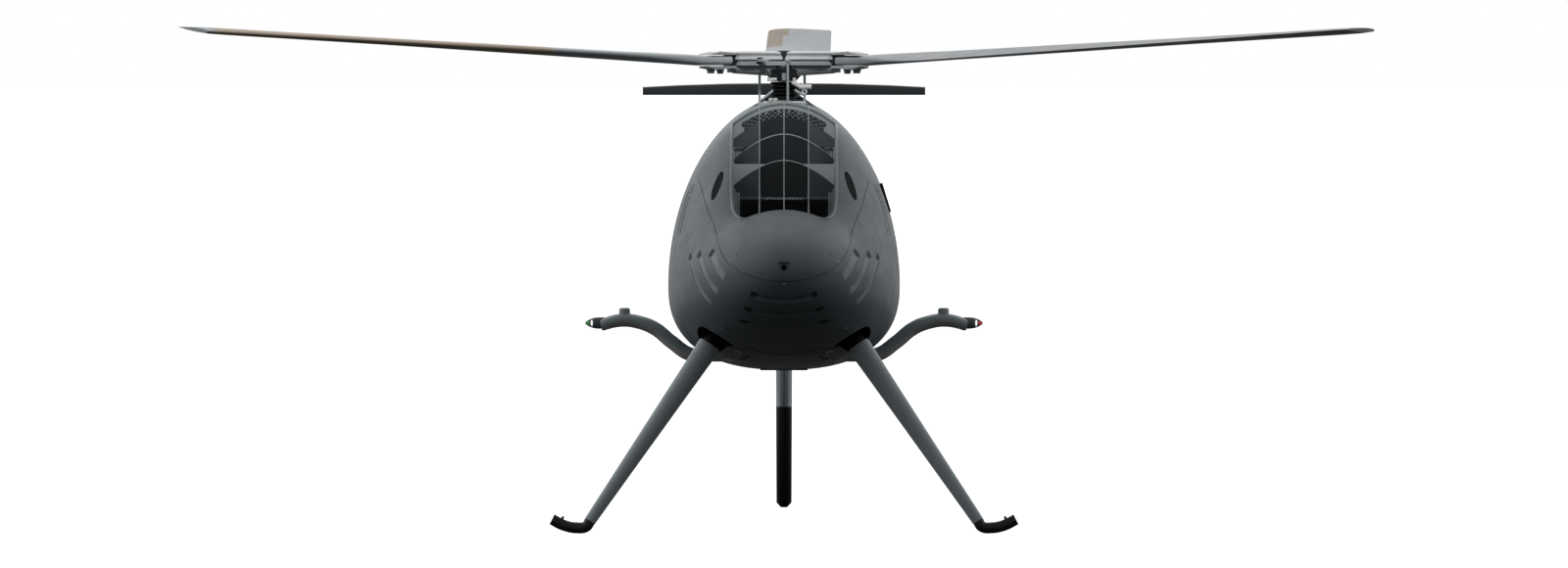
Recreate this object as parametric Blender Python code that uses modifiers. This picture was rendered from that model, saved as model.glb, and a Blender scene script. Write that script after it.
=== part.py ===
"""Unmanned helicopter with a three-blade main rotor, built as named pieces at real size.

The nose points along -Y, port is +X and up is +Z. The origin is on the ground, below the middle of
the whole machine. Distances named aft are metres behind the main rotor mast.
"""

import math

import bmesh
import bpy
from mathutils import Matrix, Vector

for old in list(bpy.data.objects):
    bpy.data.objects.remove(old, do_unlink=True)

# Driving dimensions
MAST_Y = -0.7045
GAP = 0.0003
SKIN = 0.006

NOSE_AFT = -0.735
WIDEST_AFT = 0.05
HOOD_END_AFT = 0.30
SHELL_END_AFT = 0.95
BOOM_END_AFT = 2.12
CROWN_POWER = 1.93
BELLY_POWER = 2.45
RING_POINTS = 48
# Stations: aft, half width, height of the widest line, rise above it, depth below it
STATIONS = (
    (-0.735, 0.2915, 0.655, 0.200, 0.215),
    (-0.50, 0.2915, 0.640, 0.235, 0.215),
    (-0.30, 0.2915, 0.625, 0.357, 0.215),
    (-0.10, 0.2915, 0.617, 0.4625, 0.215),
    (0.05, 0.2915, 0.614, 0.470, 0.215),
    (0.25, 0.274, 0.620, 0.445, 0.210),
    (0.50, 0.205, 0.655, 0.330, 0.185),
    (0.75, 0.122, 0.705, 0.180, 0.125),
    (1.00, 0.062, 0.740, 0.075, 0.068),
    (1.75, 0.042, 0.735, 0.045, 0.045),
    (2.12, 0.036, 0.725, 0.038, 0.038),
)

SEAM_HEIGHT = 0.644
SEAM_AFT = -0.71
SEAM_SLOPE = 0.4486

INTAKE_HALF = 0.127
INTAKE_FRONT_AFT = -0.50
INTAKE_REAR_AFT = -0.10
INTAKE_CORNER = (0.042, 0.13)
DUCT_WALL = 0.006
DUCT_FLOOR = 0.740
RADIATOR_HALF = 0.109
RADIATOR_TOP = 0.836
FIN_COUNT = 23
# Guide vanes: aft, edge height at the sides, edge height in the middle, bottom height
VANES = (
    ("upper", -0.130, 0.981, 1.037, 0.961),
    ("middle", -0.200, 0.929, 0.993, 0.917),
    ("lower", -0.290, 0.865, 0.928, 0.836),
)
VANE_THICKNESS = 0.004
WIRE_RADIUS = 0.0018
WIRE_HALF = 0.061

MAST_RADIUS = 0.0145
MAST_HOLE = 0.082
NECK_TOP = 1.045
HUB_Z = 1.1775
ROTOR_RADIUS = 1.655
ROTOR_TURN = -0.3
CONING = math.radians(3.075)
CONING_START = 0.246
CHORD = 0.165
LEADING = 0.0495
ROOT_PITCH = 4.0
TWIST_START = 0.432
TWIST_RATE = 5.25
CYCLIC = {"starboard": -1.75, "port": 1.75, "aft": 1.75}
LINK_RADIUS = 0.066
LINK_LEAD = 68.6

LEG_TOP = (0.1839, -0.300, 0.470)
LEG_FOOT = (0.4830, -0.350, 0.031)
LEG_RADII = (0.0290, 0.0147)
FOOT_RADIUS = 0.0142

FIN_AFT = 1.835
FIN_THICKNESS = 0.046
BUMPER_TOP = 0.265
TAILPLANE_HALF = 0.371
TAILPLANE_Z = 1.0844
TAIL_ROTOR_AFT = 2.06
TAIL_ROTOR_Z = 0.7265
TAIL_ROTOR_X = 0.094
TAIL_ROTOR_RADIUS = 0.28

GREY = (0.152, 0.168, 0.178)
DARK = (0.030, 0.034, 0.037)
BLACK = (0.008, 0.008, 0.008)
SILVER = (0.62, 0.63, 0.64)

helicopter = bpy.data.collections.new("helicopter")
cutters = bpy.data.collections.new("cutters")
bpy.context.scene.collection.children.link(helicopter)
bpy.context.scene.collection.children.link(cutters)
cutters.hide_render = True


# Shared modelling steps
def move_to(obj, collection):
    for owner in list(obj.users_collection):
        owner.objects.unlink(obj)
    collection.objects.link(obj)


def piece(obj, name, colour, roughness=0.5, metallic=0.0, smooth=True):
    obj.name = name
    obj.data.name = name
    material = bpy.data.materials.new(name)
    material.use_nodes = True
    shader = material.node_tree.nodes["Principled BSDF"]
    shader.inputs["Base Color"].default_value = (*colour, 1.0)
    shader.inputs["Roughness"].default_value = roughness
    shader.inputs["Metallic"].default_value = metallic
    obj.data.materials.clear()
    obj.data.materials.append(material)
    if smooth and obj.type == "MESH":
        obj.data.shade_smooth()
        obj.data.set_sharp_from_angle(angle=math.radians(35))
    move_to(obj, helicopter)
    return obj


def cutter(obj, name):
    obj.name = name
    obj.hide_render = True
    obj.display_type = "WIRE"
    move_to(obj, cutters)
    return obj


def boolean(obj, other, operation="DIFFERENCE"):
    step = obj.modifiers.new(operation.title(), "BOOLEAN")
    step.operation = operation
    step.solver = "EXACT"
    step.object = other


def bevel(obj, width, segments=1):
    step = obj.modifiers.new("Bevel", "BEVEL")
    step.width = width
    step.segments = segments
    step.limit_method = "ANGLE"
    step.angle_limit = math.radians(40)


def mesh_object(name, builder):
    mesh = bpy.data.meshes.new(name)
    builder.normal_update()
    bmesh.ops.recalc_face_normals(builder, faces=builder.faces)
    builder.to_mesh(mesh)
    builder.free()
    obj = bpy.data.objects.new(name, mesh)
    bpy.context.scene.collection.objects.link(obj)
    return obj


def box(low, high):
    low, high = Vector(low), Vector(high)
    bpy.ops.mesh.primitive_cube_add(size=1, location=(low + high) / 2)
    obj = bpy.context.object
    obj.scale = high - low
    bpy.ops.object.transform_apply(location=False, rotation=False, scale=True)
    return obj


def cylinder(start, end, radius, vertices=24, end_radius=None):
    start, end = Vector(start), Vector(end)
    run = end - start
    bpy.ops.mesh.primitive_cone_add(
        vertices=vertices,
        radius1=radius,
        radius2=radius if end_radius is None else end_radius,
        depth=run.length,
        location=(start + end) / 2,
    )
    obj = bpy.context.object
    obj.rotation_mode = "QUATERNION"
    obj.rotation_quaternion = Vector((0, 0, 1)).rotation_difference(run)
    return obj


def ball(centre, radius, segments=12):
    bpy.ops.mesh.primitive_uv_sphere_add(
        segments=segments, ring_count=segments // 2, radius=radius, location=centre
    )
    return bpy.context.object


def turned(profile, steps=32):
    """Screw of a closed profile of (radius, height) points, taken down the outer side first."""
    builder = bmesh.new()
    corners = [builder.verts.new((radius, 0, height)) for radius, height in profile]
    for first, second in zip(corners, corners[1:] + corners[:1]):
        builder.edges.new((first, second))
    mesh = bpy.data.meshes.new("profile")
    builder.to_mesh(mesh)
    builder.free()
    obj = bpy.data.objects.new("turned", mesh)
    bpy.context.scene.collection.objects.link(obj)
    step = obj.modifiers.new("Screw", "SCREW")
    step.steps = steps
    step.render_steps = steps
    step.use_merge_vertices = True
    step.merge_threshold = 0.00001
    return obj


def prism(outline, low, high, axis):
    """Flat outline pushed along one axis: the outline's points are the two other coordinates."""
    builder = bmesh.new()
    order = {"X": (2, 0, 1), "Y": (0, 2, 1), "Z": (0, 1, 2)}[axis]
    bottom = []
    top = []
    for u, v in outline:
        bottom.append(builder.verts.new([(u, v, low)[k] for k in order]))
        top.append(builder.verts.new([(u, v, high)[k] for k in order]))
    builder.faces.new(bottom)
    builder.faces.new(top)
    count = len(outline)
    for i in range(count):
        j = (i + 1) % count
        builder.faces.new((bottom[i], bottom[j], top[j], top[i]))
    return mesh_object("prism", builder)


def loft(rings, first_tip=None, last_tip=None):
    """Skin over rings of equally many points, closed with a tip point or a flat end."""
    builder = bmesh.new()
    made = [[builder.verts.new(point) for point in ring] for ring in rings]
    count = len(made[0])
    for ring, following in zip(made, made[1:]):
        for i in range(count):
            j = (i + 1) % count
            builder.faces.new((ring[i], ring[j], following[j]))
            builder.faces.new((ring[i], following[j], following[i]))
    for ring, tip in ((made[0], first_tip), (made[-1], last_tip)):
        if tip is None:
            builder.faces.new(ring)
            continue
        point = builder.verts.new(tip)
        for i in range(count):
            builder.faces.new((ring[i], ring[(i + 1) % count], point))
    return mesh_object("loft", builder)


def tube(points, radius, sides=2, steps=6, radii=None):
    """Round bar along a smooth path, as a mesh with its ends welded on."""
    curve = bpy.data.curves.new("tube", "CURVE")
    curve.dimensions = "3D"
    curve.bevel_depth = radius
    curve.bevel_resolution = sides
    curve.use_fill_caps = True
    curve.resolution_u = steps
    spline = curve.splines.new("BEZIER")
    spline.bezier_points.add(len(points) - 1)
    for index, (knot, point) in enumerate(zip(spline.bezier_points, points)):
        knot.co = point
        knot.handle_left_type = "AUTO"
        knot.handle_right_type = "AUTO"
        knot.radius = radii[index] if radii else 1.0
    guide = bpy.data.objects.new("tube", curve)
    bpy.context.scene.collection.objects.link(guide)
    bpy.context.view_layer.update()
    graph = bpy.context.evaluated_depsgraph_get()
    mesh = bpy.data.meshes.new_from_object(guide.evaluated_get(graph))
    builder = bmesh.new()
    builder.from_mesh(mesh)
    bmesh.ops.remove_doubles(builder, verts=builder.verts, dist=0.00001)
    bpy.data.objects.remove(guide)
    return mesh_object("tube", builder)


def at(x, aft, z):
    return (x, MAST_Y + aft, z)


def smooth_through(points, x):
    """Monotone cubic curve through (x, value) points."""
    xs = [point[0] for point in points]
    ys = [point[1] for point in points]
    if x <= xs[0]:
        return ys[0]
    if x >= xs[-1]:
        return ys[-1]
    slopes = [(y2 - y1) / (x2 - x1) for x1, x2, y1, y2 in zip(xs, xs[1:], ys, ys[1:])]
    tangents = [slopes[0]]
    for before, after in zip(slopes, slopes[1:]):
        flat = before * after <= 0
        tangents.append(0.0 if flat else 2 * before * after / (before + after))
    tangents.append(slopes[-1])
    i = max(k for k in range(len(xs) - 1) if xs[k] <= x)
    width = xs[i + 1] - xs[i]
    t = (x - xs[i]) / width
    value = (2 * t**3 - 3 * t**2 + 1) * ys[i] + (t**3 - 2 * t**2 + t) * width * tangents[i]
    return value + (3 * t**2 - 2 * t**3) * ys[i + 1] + (t**3 - t**2) * width * tangents[i + 1]


# Fuselage form, shared by every panel
def section(aft, inset=0.0):
    """Half width, widest height, rise and depth of the body at a station."""
    half, widest, rise, depth = (
        smooth_through([(s[0], s[k]) for s in STATIONS], aft) for k in (1, 2, 3, 4)
    )
    reach = WIDEST_AFT - NOSE_AFT - inset
    along = max(0.0, (WIDEST_AFT - aft) / reach)
    swell = math.sqrt(max(0.0, 1.0 - along**2))
    return (half - inset) * swell, widest, (rise - inset) * swell, (depth - inset) * swell


def power(value, exponent):
    return math.copysign(abs(value) ** exponent, value)


def ring_at(aft, inset=0.0, count=RING_POINTS, shrink=1.0):
    half, widest, rise, depth = section(aft, inset)
    roundness = min(1.0, max(0.0, (aft - HOOD_END_AFT) / (SHELL_END_AFT - HOOD_END_AFT)))
    belly = BELLY_POWER + (2.0 - BELLY_POWER) * roundness
    points = []
    for k in range(count):
        angle = 2 * math.pi * k / count
        up = math.cos(angle) > 0
        exponent = 2 / (CROWN_POWER if up else belly)
        x = half * power(math.sin(angle), exponent) * shrink
        z = widest + (rise if up else depth) * power(math.cos(angle), exponent) * shrink
        points.append(at(x, aft, z))
    return points


def crown_height(aft, x, inset=0.0):
    """Height of the upper skin at a station and a distance from the centre line."""
    half, widest, rise, _ = section(aft, inset)
    return widest + rise * (1 - (abs(x) / half) ** CROWN_POWER) ** (1 / CROWN_POWER)


def skin_point(x, z):
    """Place on the front skin behind a point of the front view, and the outward direction there."""

    def depth_at(x, z):
        low, high = NOSE_AFT, WIDEST_AFT
        for _ in range(40):
            middle = (low + high) / 2
            half, widest, rise, depth = section(middle)
            exponent = CROWN_POWER if z > widest else BELLY_POWER
            tall = rise if z > widest else depth
            inside = (abs(x) / half) ** exponent + (abs(z - widest) / tall) ** exponent < 1
            low, high = (low, middle) if inside else (middle, high)
        return high

    step = 0.002
    across = (depth_at(x + step, z) - depth_at(x - step, z)) / (2 * step)
    upward = (depth_at(x, z + step) - depth_at(x, z - step)) / (2 * step)
    return Vector(at(x, depth_at(x, z), z)), Vector((across, -1.0, upward)).normalized()


def body_solid(inset=0.0, count=RING_POINTS):
    reach = WIDEST_AFT - NOSE_AFT
    nose = [WIDEST_AFT - reach * math.cos(math.radians(6 * k)) for k in range(1, 15)]
    rear = [WIDEST_AFT + 0.1 * k for k in range(10)]
    rings = [ring_at(aft, inset, count) for aft in nose + rear + [SHELL_END_AFT + 0.05]]
    return loft(rings, first_tip=at(0, NOSE_AFT + inset, STATIONS[0][2]))


def seam_height(aft):
    return SEAM_HEIGHT + SEAM_SLOPE * (aft - SEAM_AFT)


FAR = 1.3
inner_body = cutter(body_solid(SKIN), "inner_body")
seat_body = cutter(body_solid(-GAP), "seat_body")
liner_body = cutter(body_solid(SKIN + GAP), "liner_body")


def region(outline, name):
    return cutter(prism([(MAST_Y + aft, z) for aft, z in outline], -0.5, 0.5, "X"), name)


def intake_outline(grow):
    """Plan of the air intake: square at the rear, with long round corners in front."""
    across, along = INTAKE_CORNER
    half = INTAKE_HALF + grow
    front = INTAKE_FRONT_AFT - grow
    corner = []
    for step in range(7):
        angle = math.radians(15 * step)
        x = half - across + across * math.cos(angle)
        corner.append((x, front + along - along * math.sin(angle)))
    rear = [(half, INTAKE_REAR_AFT + grow)]
    right = rear + corner
    left = [(-x, aft) for x, aft in reversed(right)]
    return [(x, MAST_Y + aft) for x, aft in right + left]


# Nose cowl: the upper front shell, with the intake, the side vents and the camera port cut in it
VENT_PLACE = (0.1665, -0.300, 0.865)
VENT_TILT = math.radians(22)
VENT_SIZE = (0.012, 0.038)
CAMERA_PLACE = (0.0, 0.6704)
CAMERA_OVAL = (0.0145, 0.0110)


def vent_prism(side, grow, name):
    """Oval bar along the vent's line of sight, slanted outwards with the skin."""
    bpy.ops.mesh.primitive_cylinder_add(vertices=24, radius=1, depth=0.16)
    obj = bpy.context.object
    obj.scale = (VENT_SIZE[0] + grow, VENT_SIZE[1] + grow, 1.0)
    bpy.ops.object.transform_apply(location=False, rotation=False, scale=True)
    stand = Matrix.Rotation(math.radians(90), 4, "X")
    tilt = Matrix.Rotation(side * VENT_TILT, 4, "Y")
    turn = Matrix.Rotation(side * math.radians(38), 4, "Z")
    x, aft, z = VENT_PLACE
    obj.matrix_world = Matrix.Translation(at(side * x, aft, z)) @ turn @ tilt @ stand
    return cutter(obj, name)


def oval_bar(half_x, half_z, low_aft, high_aft):
    x, z = CAMERA_PLACE
    outline = []
    for k in range(24):
        angle = 2 * math.pi * k / 24
        outline.append((x + half_x * math.cos(angle), z + half_z * math.sin(angle)))
    return prism(outline, MAST_Y + low_aft, MAST_Y + high_aft, "Y")


hood_region = region(
    (
        (-1.0, seam_height(-1.0)),
        (HOOD_END_AFT, seam_height(HOOD_END_AFT)),
        (HOOD_END_AFT, FAR),
        (-1.0, FAR),
    ),
    "hood_region",
)
nose_cowl = body_solid()
boolean(nose_cowl, inner_body)
boolean(nose_cowl, hood_region, "INTERSECT")
boolean(nose_cowl, cutter(prism(intake_outline(0.0), 0.70, FAR, "Z"), "intake_cut"))
boolean(nose_cowl, cutter(cylinder(at(0, 0, 0.9), at(0, 0, FAR), MAST_HOLE, 32), "mast_hole"))
for side, word in ((1, "port"), (-1, "starboard")):
    boolean(nose_cowl, vent_prism(side, GAP, "vent_hole_" + word))
boolean(nose_cowl, cutter(oval_bar(*CAMERA_OVAL, -0.80, -0.66), "camera_hole"))
piece(nose_cowl, "nose_cowl", GREY, 0.42)

camera = oval_bar(CAMERA_OVAL[0] - GAP, CAMERA_OVAL[1] - GAP, NOSE_AFT + 0.006, NOSE_AFT + 0.040)
lens_well = cylinder(at(0, -0.80, CAMERA_PLACE[1]), at(0, NOSE_AFT + 0.012, CAMERA_PLACE[1]), 0.0045, 16)
boolean(camera, cutter(lens_well, "lens_well"))
piece(camera, "nose_camera", BLACK, 0.2)

vent_inner = cutter(body_solid(0.008), "vent_inner")
for side, word in ((1, "port"), (-1, "starboard")):
    grille = body_solid(0.002)
    boolean(grille, vent_inner)
    boolean(grille, vent_prism(side, -0.0001, "vent_plug_" + word), "INTERSECT")
    for step in range(4):
        rise = (step - 1.5) * 0.0145
        x, aft, z = VENT_PLACE
        middle = Vector(at(side * (x - rise * 0.40), aft, z + rise))
        half_slot = Vector((0.0075, 0.08, 0.0035))
        slot = box(middle - half_slot, middle + half_slot)
        slot.rotation_euler = (0, 0, side * math.radians(38))
        boolean(grille, cutter(slot, f"vent_slot_{word}_{step}"))
    piece(grille, "side_vent_" + word, DARK, 0.5)

# Lower cowl: the shell below the seam, with holes for the legs and the belly plate
BELLY_PLATE = (0.060, -0.06, 0.18)
BELLY_Z = 0.400
LEG_HOLE = 0.034


def leg_direction(side):
    top = Vector((side * LEG_TOP[0], LEG_TOP[1], LEG_TOP[2]))
    foot = Vector((side * LEG_FOOT[0], LEG_FOOT[1], LEG_FOOT[2]))
    return top, foot, (foot - top).normalized()


lower_region = region(
    (
        (-1.0, 0.2),
        (HOOD_END_AFT, 0.2),
        (HOOD_END_AFT, seam_height(HOOD_END_AFT) - GAP),
        (-1.0, seam_height(-1.0) - GAP),
    ),
    "lower_region",
)
lower_cowl = body_solid()
boolean(lower_cowl, inner_body)
boolean(lower_cowl, lower_region, "INTERSECT")
for side, word in ((1, "port"), (-1, "starboard")):
    top, foot, run = leg_direction(side)
    hole = cylinder(at(*(top - run * 0.045)), at(*(top + run * 0.10)), LEG_HOLE)
    boolean(lower_cowl, cutter(hole, "leg_hole_" + word))
belly_cut = box(
    at(-BELLY_PLATE[0], BELLY_PLATE[1], 0.35), at(BELLY_PLATE[0], BELLY_PLATE[2], BELLY_Z + 0.02)
)
boolean(lower_cowl, cutter(belly_cut, "belly_cut"))

# Pressed louvres of the lower cowl: half width, then (x, z) places down the middle of each
LOUVRE_DEPTH = 0.0042
SIDE_LOUVRES = (
    (0.0090, ((0.1770, 0.6999), (0.1661, 0.6733), (0.1515, 0.6466))),
    (0.0078, ((0.2073, 0.6922), (0.2000, 0.6626), (0.1852, 0.6328), (0.1685, 0.6127))),
    (0.0062, ((0.2315, 0.6849), (0.2259, 0.6515), (0.2112, 0.6144), (0.1833, 0.5829))),
)
FRONT_LOUVRES = (
    (0.0075, ((0.0798, 0.6013), (0.0485, 0.5909), (0.0, 0.5860))),
    (0.0075, ((0.0945, 0.5642), (0.0485, 0.5533), (0.0, 0.5496))),
    (0.0070, ((0.1076, 0.5327), (0.0533, 0.5222), (0.0, 0.5196))),
)


def louvre(half_width, places, name):
    """Groove with a round floor and upright ends that follows the skin."""
    radius = (half_width**2 + LOUVRE_DEPTH**2) / (2 * LOUVRE_DEPTH)
    path = []
    for x, z in places:
        point, outward = skin_point(x, z)
        path.append(point + outward * (radius - LOUVRE_DEPTH))
    boolean(lower_cowl, cutter(tube(path, radius, 4, 4), name))


for number, (half_width, places) in enumerate(SIDE_LOUVRES):
    for side, word in ((1, "port"), (-1, "starboard")):
        louvre(half_width, [(side * x, z) for x, z in places], f"louvre_{word}_{number}")
for number, (half_width, places) in enumerate(FRONT_LOUVRES):
    mirrored = [(-x, z) for x, z in reversed(places[:-1])]
    louvre(half_width, list(places) + mirrored, f"louvre_front_{number}")
piece(lower_cowl, "lower_cowl", GREY, 0.42)

belly = box(
    at(-BELLY_PLATE[0] + GAP, BELLY_PLATE[1] + GAP, BELLY_Z),
    at(BELLY_PLATE[0] - GAP, BELLY_PLATE[2] - GAP, BELLY_Z + 0.012),
)
piece(belly, "belly_plate", GREY, 0.5, smooth=False)

# Rear fuselage shell and tail boom
rear_region = region(
    ((HOOD_END_AFT + GAP, 0.2), (SHELL_END_AFT, 0.2), (SHELL_END_AFT, FAR), (HOOD_END_AFT + GAP, FAR)),
    "rear_region",
)
rear_shell = body_solid()
boolean(rear_shell, inner_body)
boolean(rear_shell, rear_region, "INTERSECT")
piece(rear_shell, "rear_fuselage", GREY, 0.42)


def boom_solid(inset, start):
    straight = [start + (2.06 - start) * k / 6 for k in range(7)]
    rings = [ring_at(aft, inset, 20) for aft in straight]
    for degrees in (25, 50, 75):
        angle = math.radians(degrees)
        rings.append(ring_at(2.06 + 0.06 * math.sin(angle), inset, 20, math.cos(angle)))
    return loft(rings, last_tip=at(0, BOOM_END_AFT - inset, STATIONS[-1][2]))


piece(boom_solid(0.0, SHELL_END_AFT + GAP), "tail_boom", GREY, 0.42)
boom_seat = cutter(boom_solid(-GAP, SHELL_END_AFT - 0.05), "boom_seat")

# Main frame: a floor and two bulkheads inside the shell that carry the legs and the engine
frame_solid = box(at(-0.075, -0.26, 0.440), at(0.075, 0.285, 0.455))
for low, high in ((-0.2664, -0.2494), (0.265, 0.285)):
    wall = box(at(-0.30, low, 0.30), at(0.30, high, 0.62))
    boolean(frame_solid, cutter(wall, "bulkhead"), "UNION")
boolean(frame_solid, liner_body, "INTERSECT")
piece(frame_solid, "main_frame", DARK, 0.6, smooth=False)

engine = box(at(-0.11, -0.06, 0.4553), at(0.11, 0.2647, 0.70))
bevel(engine, 0.012)
piece(engine, "engine_block", DARK, 0.5, 0.4, smooth=False)

gearbox = box(at(-0.06, -0.07, 0.7003), at(0.06, 0.07, 0.99))
boolean(gearbox, cutter(cylinder(at(0, 0, 0.95), at(0, 0, NECK_TOP), 0.050), "gearbox_neck"), "UNION")
bore = cylinder(at(0, 0, 0.97), at(0, 0, 1.10), MAST_RADIUS + 0.0007)
boolean(gearbox, cutter(bore, "mast_bore"))
piece(gearbox, "gearbox", SILVER, 0.4, 0.8)

# Intake duct with its guide vanes, radiator, top grille and guard wires
duct = prism(intake_outline(DUCT_WALL), DUCT_FLOOR - DUCT_WALL, FAR, "Z")
boolean(duct, cutter(prism(intake_outline(0.0), DUCT_FLOOR, FAR + 0.1, "Z"), "duct_hollow"))
boolean(duct, liner_body, "INTERSECT")
piece(duct, "intake_duct", DARK, 0.6)

for word, aft, side_z, middle_z, low_z in VANES:
    half = INTAKE_HALF - GAP
    arch = []
    for step in range(13):
        u = 1 - step / 6
        arch.append((half * u, middle_z - (middle_z - side_z) * abs(u) ** 1.8))
    outline = arch + [(-half, low_z), (half, low_z)]
    vane = prism(outline, MAST_Y + aft, MAST_Y + aft + VANE_THICKNESS, "Y")
    piece(vane, "guide_vane_" + word, DARK, 0.45)

radiator = box(
    at(-RADIATOR_HALF, -0.425, DUCT_FLOOR + GAP), at(RADIATOR_HALF, -0.400, RADIATOR_TOP - 0.004)
)
fin_pitch = 2 * RADIATOR_HALF / FIN_COUNT
fins = bmesh.new()
for k in range(FIN_COUNT):
    x = -RADIATOR_HALF + fin_pitch * (k + 0.5)
    low = Vector(at(x - 0.0016, -0.440, DUCT_FLOOR + 0.002))
    high = Vector(at(x + 0.0016, -0.410, RADIATOR_TOP))
    place = Matrix.Translation((low + high) / 2) @ Matrix.Diagonal((*(high - low), 1.0))
    bmesh.ops.create_cube(fins, size=1.0, matrix=place)
boolean(radiator, cutter(mesh_object("fins", fins), "radiator_fins"), "UNION")
piece(radiator, "radiator", BLACK, 0.5, smooth=False)

grille_arc = [(0.122 * (1 - step / 8), step) for step in range(17)]


def grille_height(x, drop):
    return 1.0600 - drop - 0.040 * (abs(x) / 0.112) ** 1.9


band = [(x, grille_height(x, 0.0)) for x, _ in grille_arc]
band += [(x, grille_height(x, 0.026)) for x, _ in reversed(grille_arc)]
grille = prism(band, MAST_Y - 0.1030, MAST_Y - 0.1003, "Y")
holes = bmesh.new()
for row, count in ((0, 13), (1, 12)):
    for k in range(count):
        x = (k - (count - 1) / 2) * 0.0165
        z = grille_height(x, 0.0075 + 0.0100 * row)
        place = (
            Matrix.Translation(at(x, -0.1016, z))
            @ Matrix.Diagonal((1.0, 1.0, 0.72, 1.0))
            @ Matrix.Rotation(math.radians(45), 4, "Y")
            @ Matrix.Diagonal((0.0090, 0.02, 0.0090, 1.0))
        )
        bmesh.ops.create_cube(holes, size=1.0, matrix=place)
boolean(grille, cutter(mesh_object("grille_holes", holes), "grille_holes"))
piece(grille, "intake_grille", DARK, 0.5, smooth=False)


def above_crown(aft, x, clearance):
    """Point at a square distance from the upper skin, straight over a place on it."""
    step = 0.001
    along = (crown_height(aft + step, x) - crown_height(aft - step, x)) / (2 * step)
    across = (crown_height(aft, x + step) - crown_height(aft, x - step)) / (2 * step)
    return at(x, aft, crown_height(aft, x) + clearance * math.sqrt(1 + along**2 + across**2))


for x, word in ((WIRE_HALF, "port"), (0.0, "centre"), (-WIRE_HALF, "starboard")):
    run = [INTAKE_FRONT_AFT - 0.012 + 0.06 * k for k in range(7)] + [INTAKE_REAR_AFT + 0.012]
    wire = tube([above_crown(aft, x, WIRE_RADIUS + 2 * GAP) for aft in run], WIRE_RADIUS, 1, 2)
    piece(wire, "guard_wire_" + word, SILVER, 0.4, 0.9)

# Mast surround and swashplate
well = turned(
    (
        (MAST_HOLE - 0.0008, 1.056),
        (MAST_HOLE - 0.0008, 1.018),
        (0.0503, 1.018),
        (0.0503, 1.022),
        (MAST_HOLE - 0.0048, 1.022),
        (MAST_HOLE - 0.0048, 1.056),
    )
)
well.location = at(0, 0, 0)
piece(well, "mast_surround", DARK, 0.6)

plate_low = NECK_TOP + GAP
fixed_plate = turned(((0.046, 1.0573), (0.046, plate_low), (0.0165, plate_low), (0.0165, 1.0573)))
fixed_plate.location = at(0, 0, 0)
piece(fixed_plate, "swashplate_fixed", SILVER, 0.35, 0.9)

turning_plate = turned(
    ((0.052, 1.0750), (0.054, 1.0730), (0.054, 1.0583), (0.0148, 1.0583), (0.0148, 1.0750))
)
turning_plate.location = at(0, 0, 0)


def polar(radius, degrees, z):
    angle = math.radians(degrees)
    return at(radius * math.cos(angle), radius * math.sin(angle), z)


blade_turns = {"starboard": 210 + ROTOR_TURN, "port": 330 + ROTOR_TURN, "aft": 90 + ROTOR_TURN}
EYE_Z = 1.0675
EYE_RADIUS = 0.0070
for word, degrees in blade_turns.items():
    pin = cylinder(
        polar(0.045, degrees + LINK_LEAD, EYE_Z),
        polar(LINK_RADIUS - EYE_RADIUS - GAP, degrees + LINK_LEAD, EYE_Z),
        0.0035,
        12,
    )
    boolean(turning_plate, cutter(pin, "plate_pin_" + word), "UNION")
piece(turning_plate, "swashplate_rotating", SILVER, 0.35, 0.9)

ribs = [(0.032 if k % 2 == 0 else 0.026, 1.1245 - 0.0055 * k) for k in range(9)]
boot = turned([(0.0148, 1.1245)] + ribs + [(0.0148, 1.1245 - 0.0055 * 8)], 24)
boot.location = at(0, 0, 0)
piece(boot, "mast_boot", BLACK, 0.7)

mast = cylinder(at(0, 0, 0.975), at(0, 0, 1.1248), MAST_RADIUS)
piece(mast, "rotor_mast", SILVER, 0.3, 0.9)

# Rotor hub: a core and three arms, each a stack of layers with shallow grooves between them
ARM_REACH = 0.152
ARM_HALF = 0.036
ARM_LAYERS = (
    (1.1655, 0.0035),
    (1.1780, 0.0035),
    (1.1785, 0.0),
    (1.1905, 0.0),
    (1.1910, 0.0025),
    (1.1922, 0.0025),
    (1.1927, 0.0008),
    (1.1975, 0.0008),
    (1.2010, 0.0055),
)
SPAR_HALF, SPAR_LOW, SPAR_HIGH = 0.0200, 1.1700, 1.1850
HORN_ROOT = (0.080, 0.098)


def hub_arm():
    """Arm along +X: rounded rectangles of different size, one above the other."""
    rings = []
    for z, inset in ARM_LAYERS:
        half, reach, corner = ARM_HALF - inset, ARM_REACH - inset, 0.016
        ring = [(0.0, half, z), (reach - corner, half, z), (reach - 0.3 * corner, half - 0.3 * corner, z),
                (reach, half - corner, z)]
        rings.append(ring + [(x, -y, z) for x, y, z in reversed(ring)])
    return loft(rings)


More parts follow.
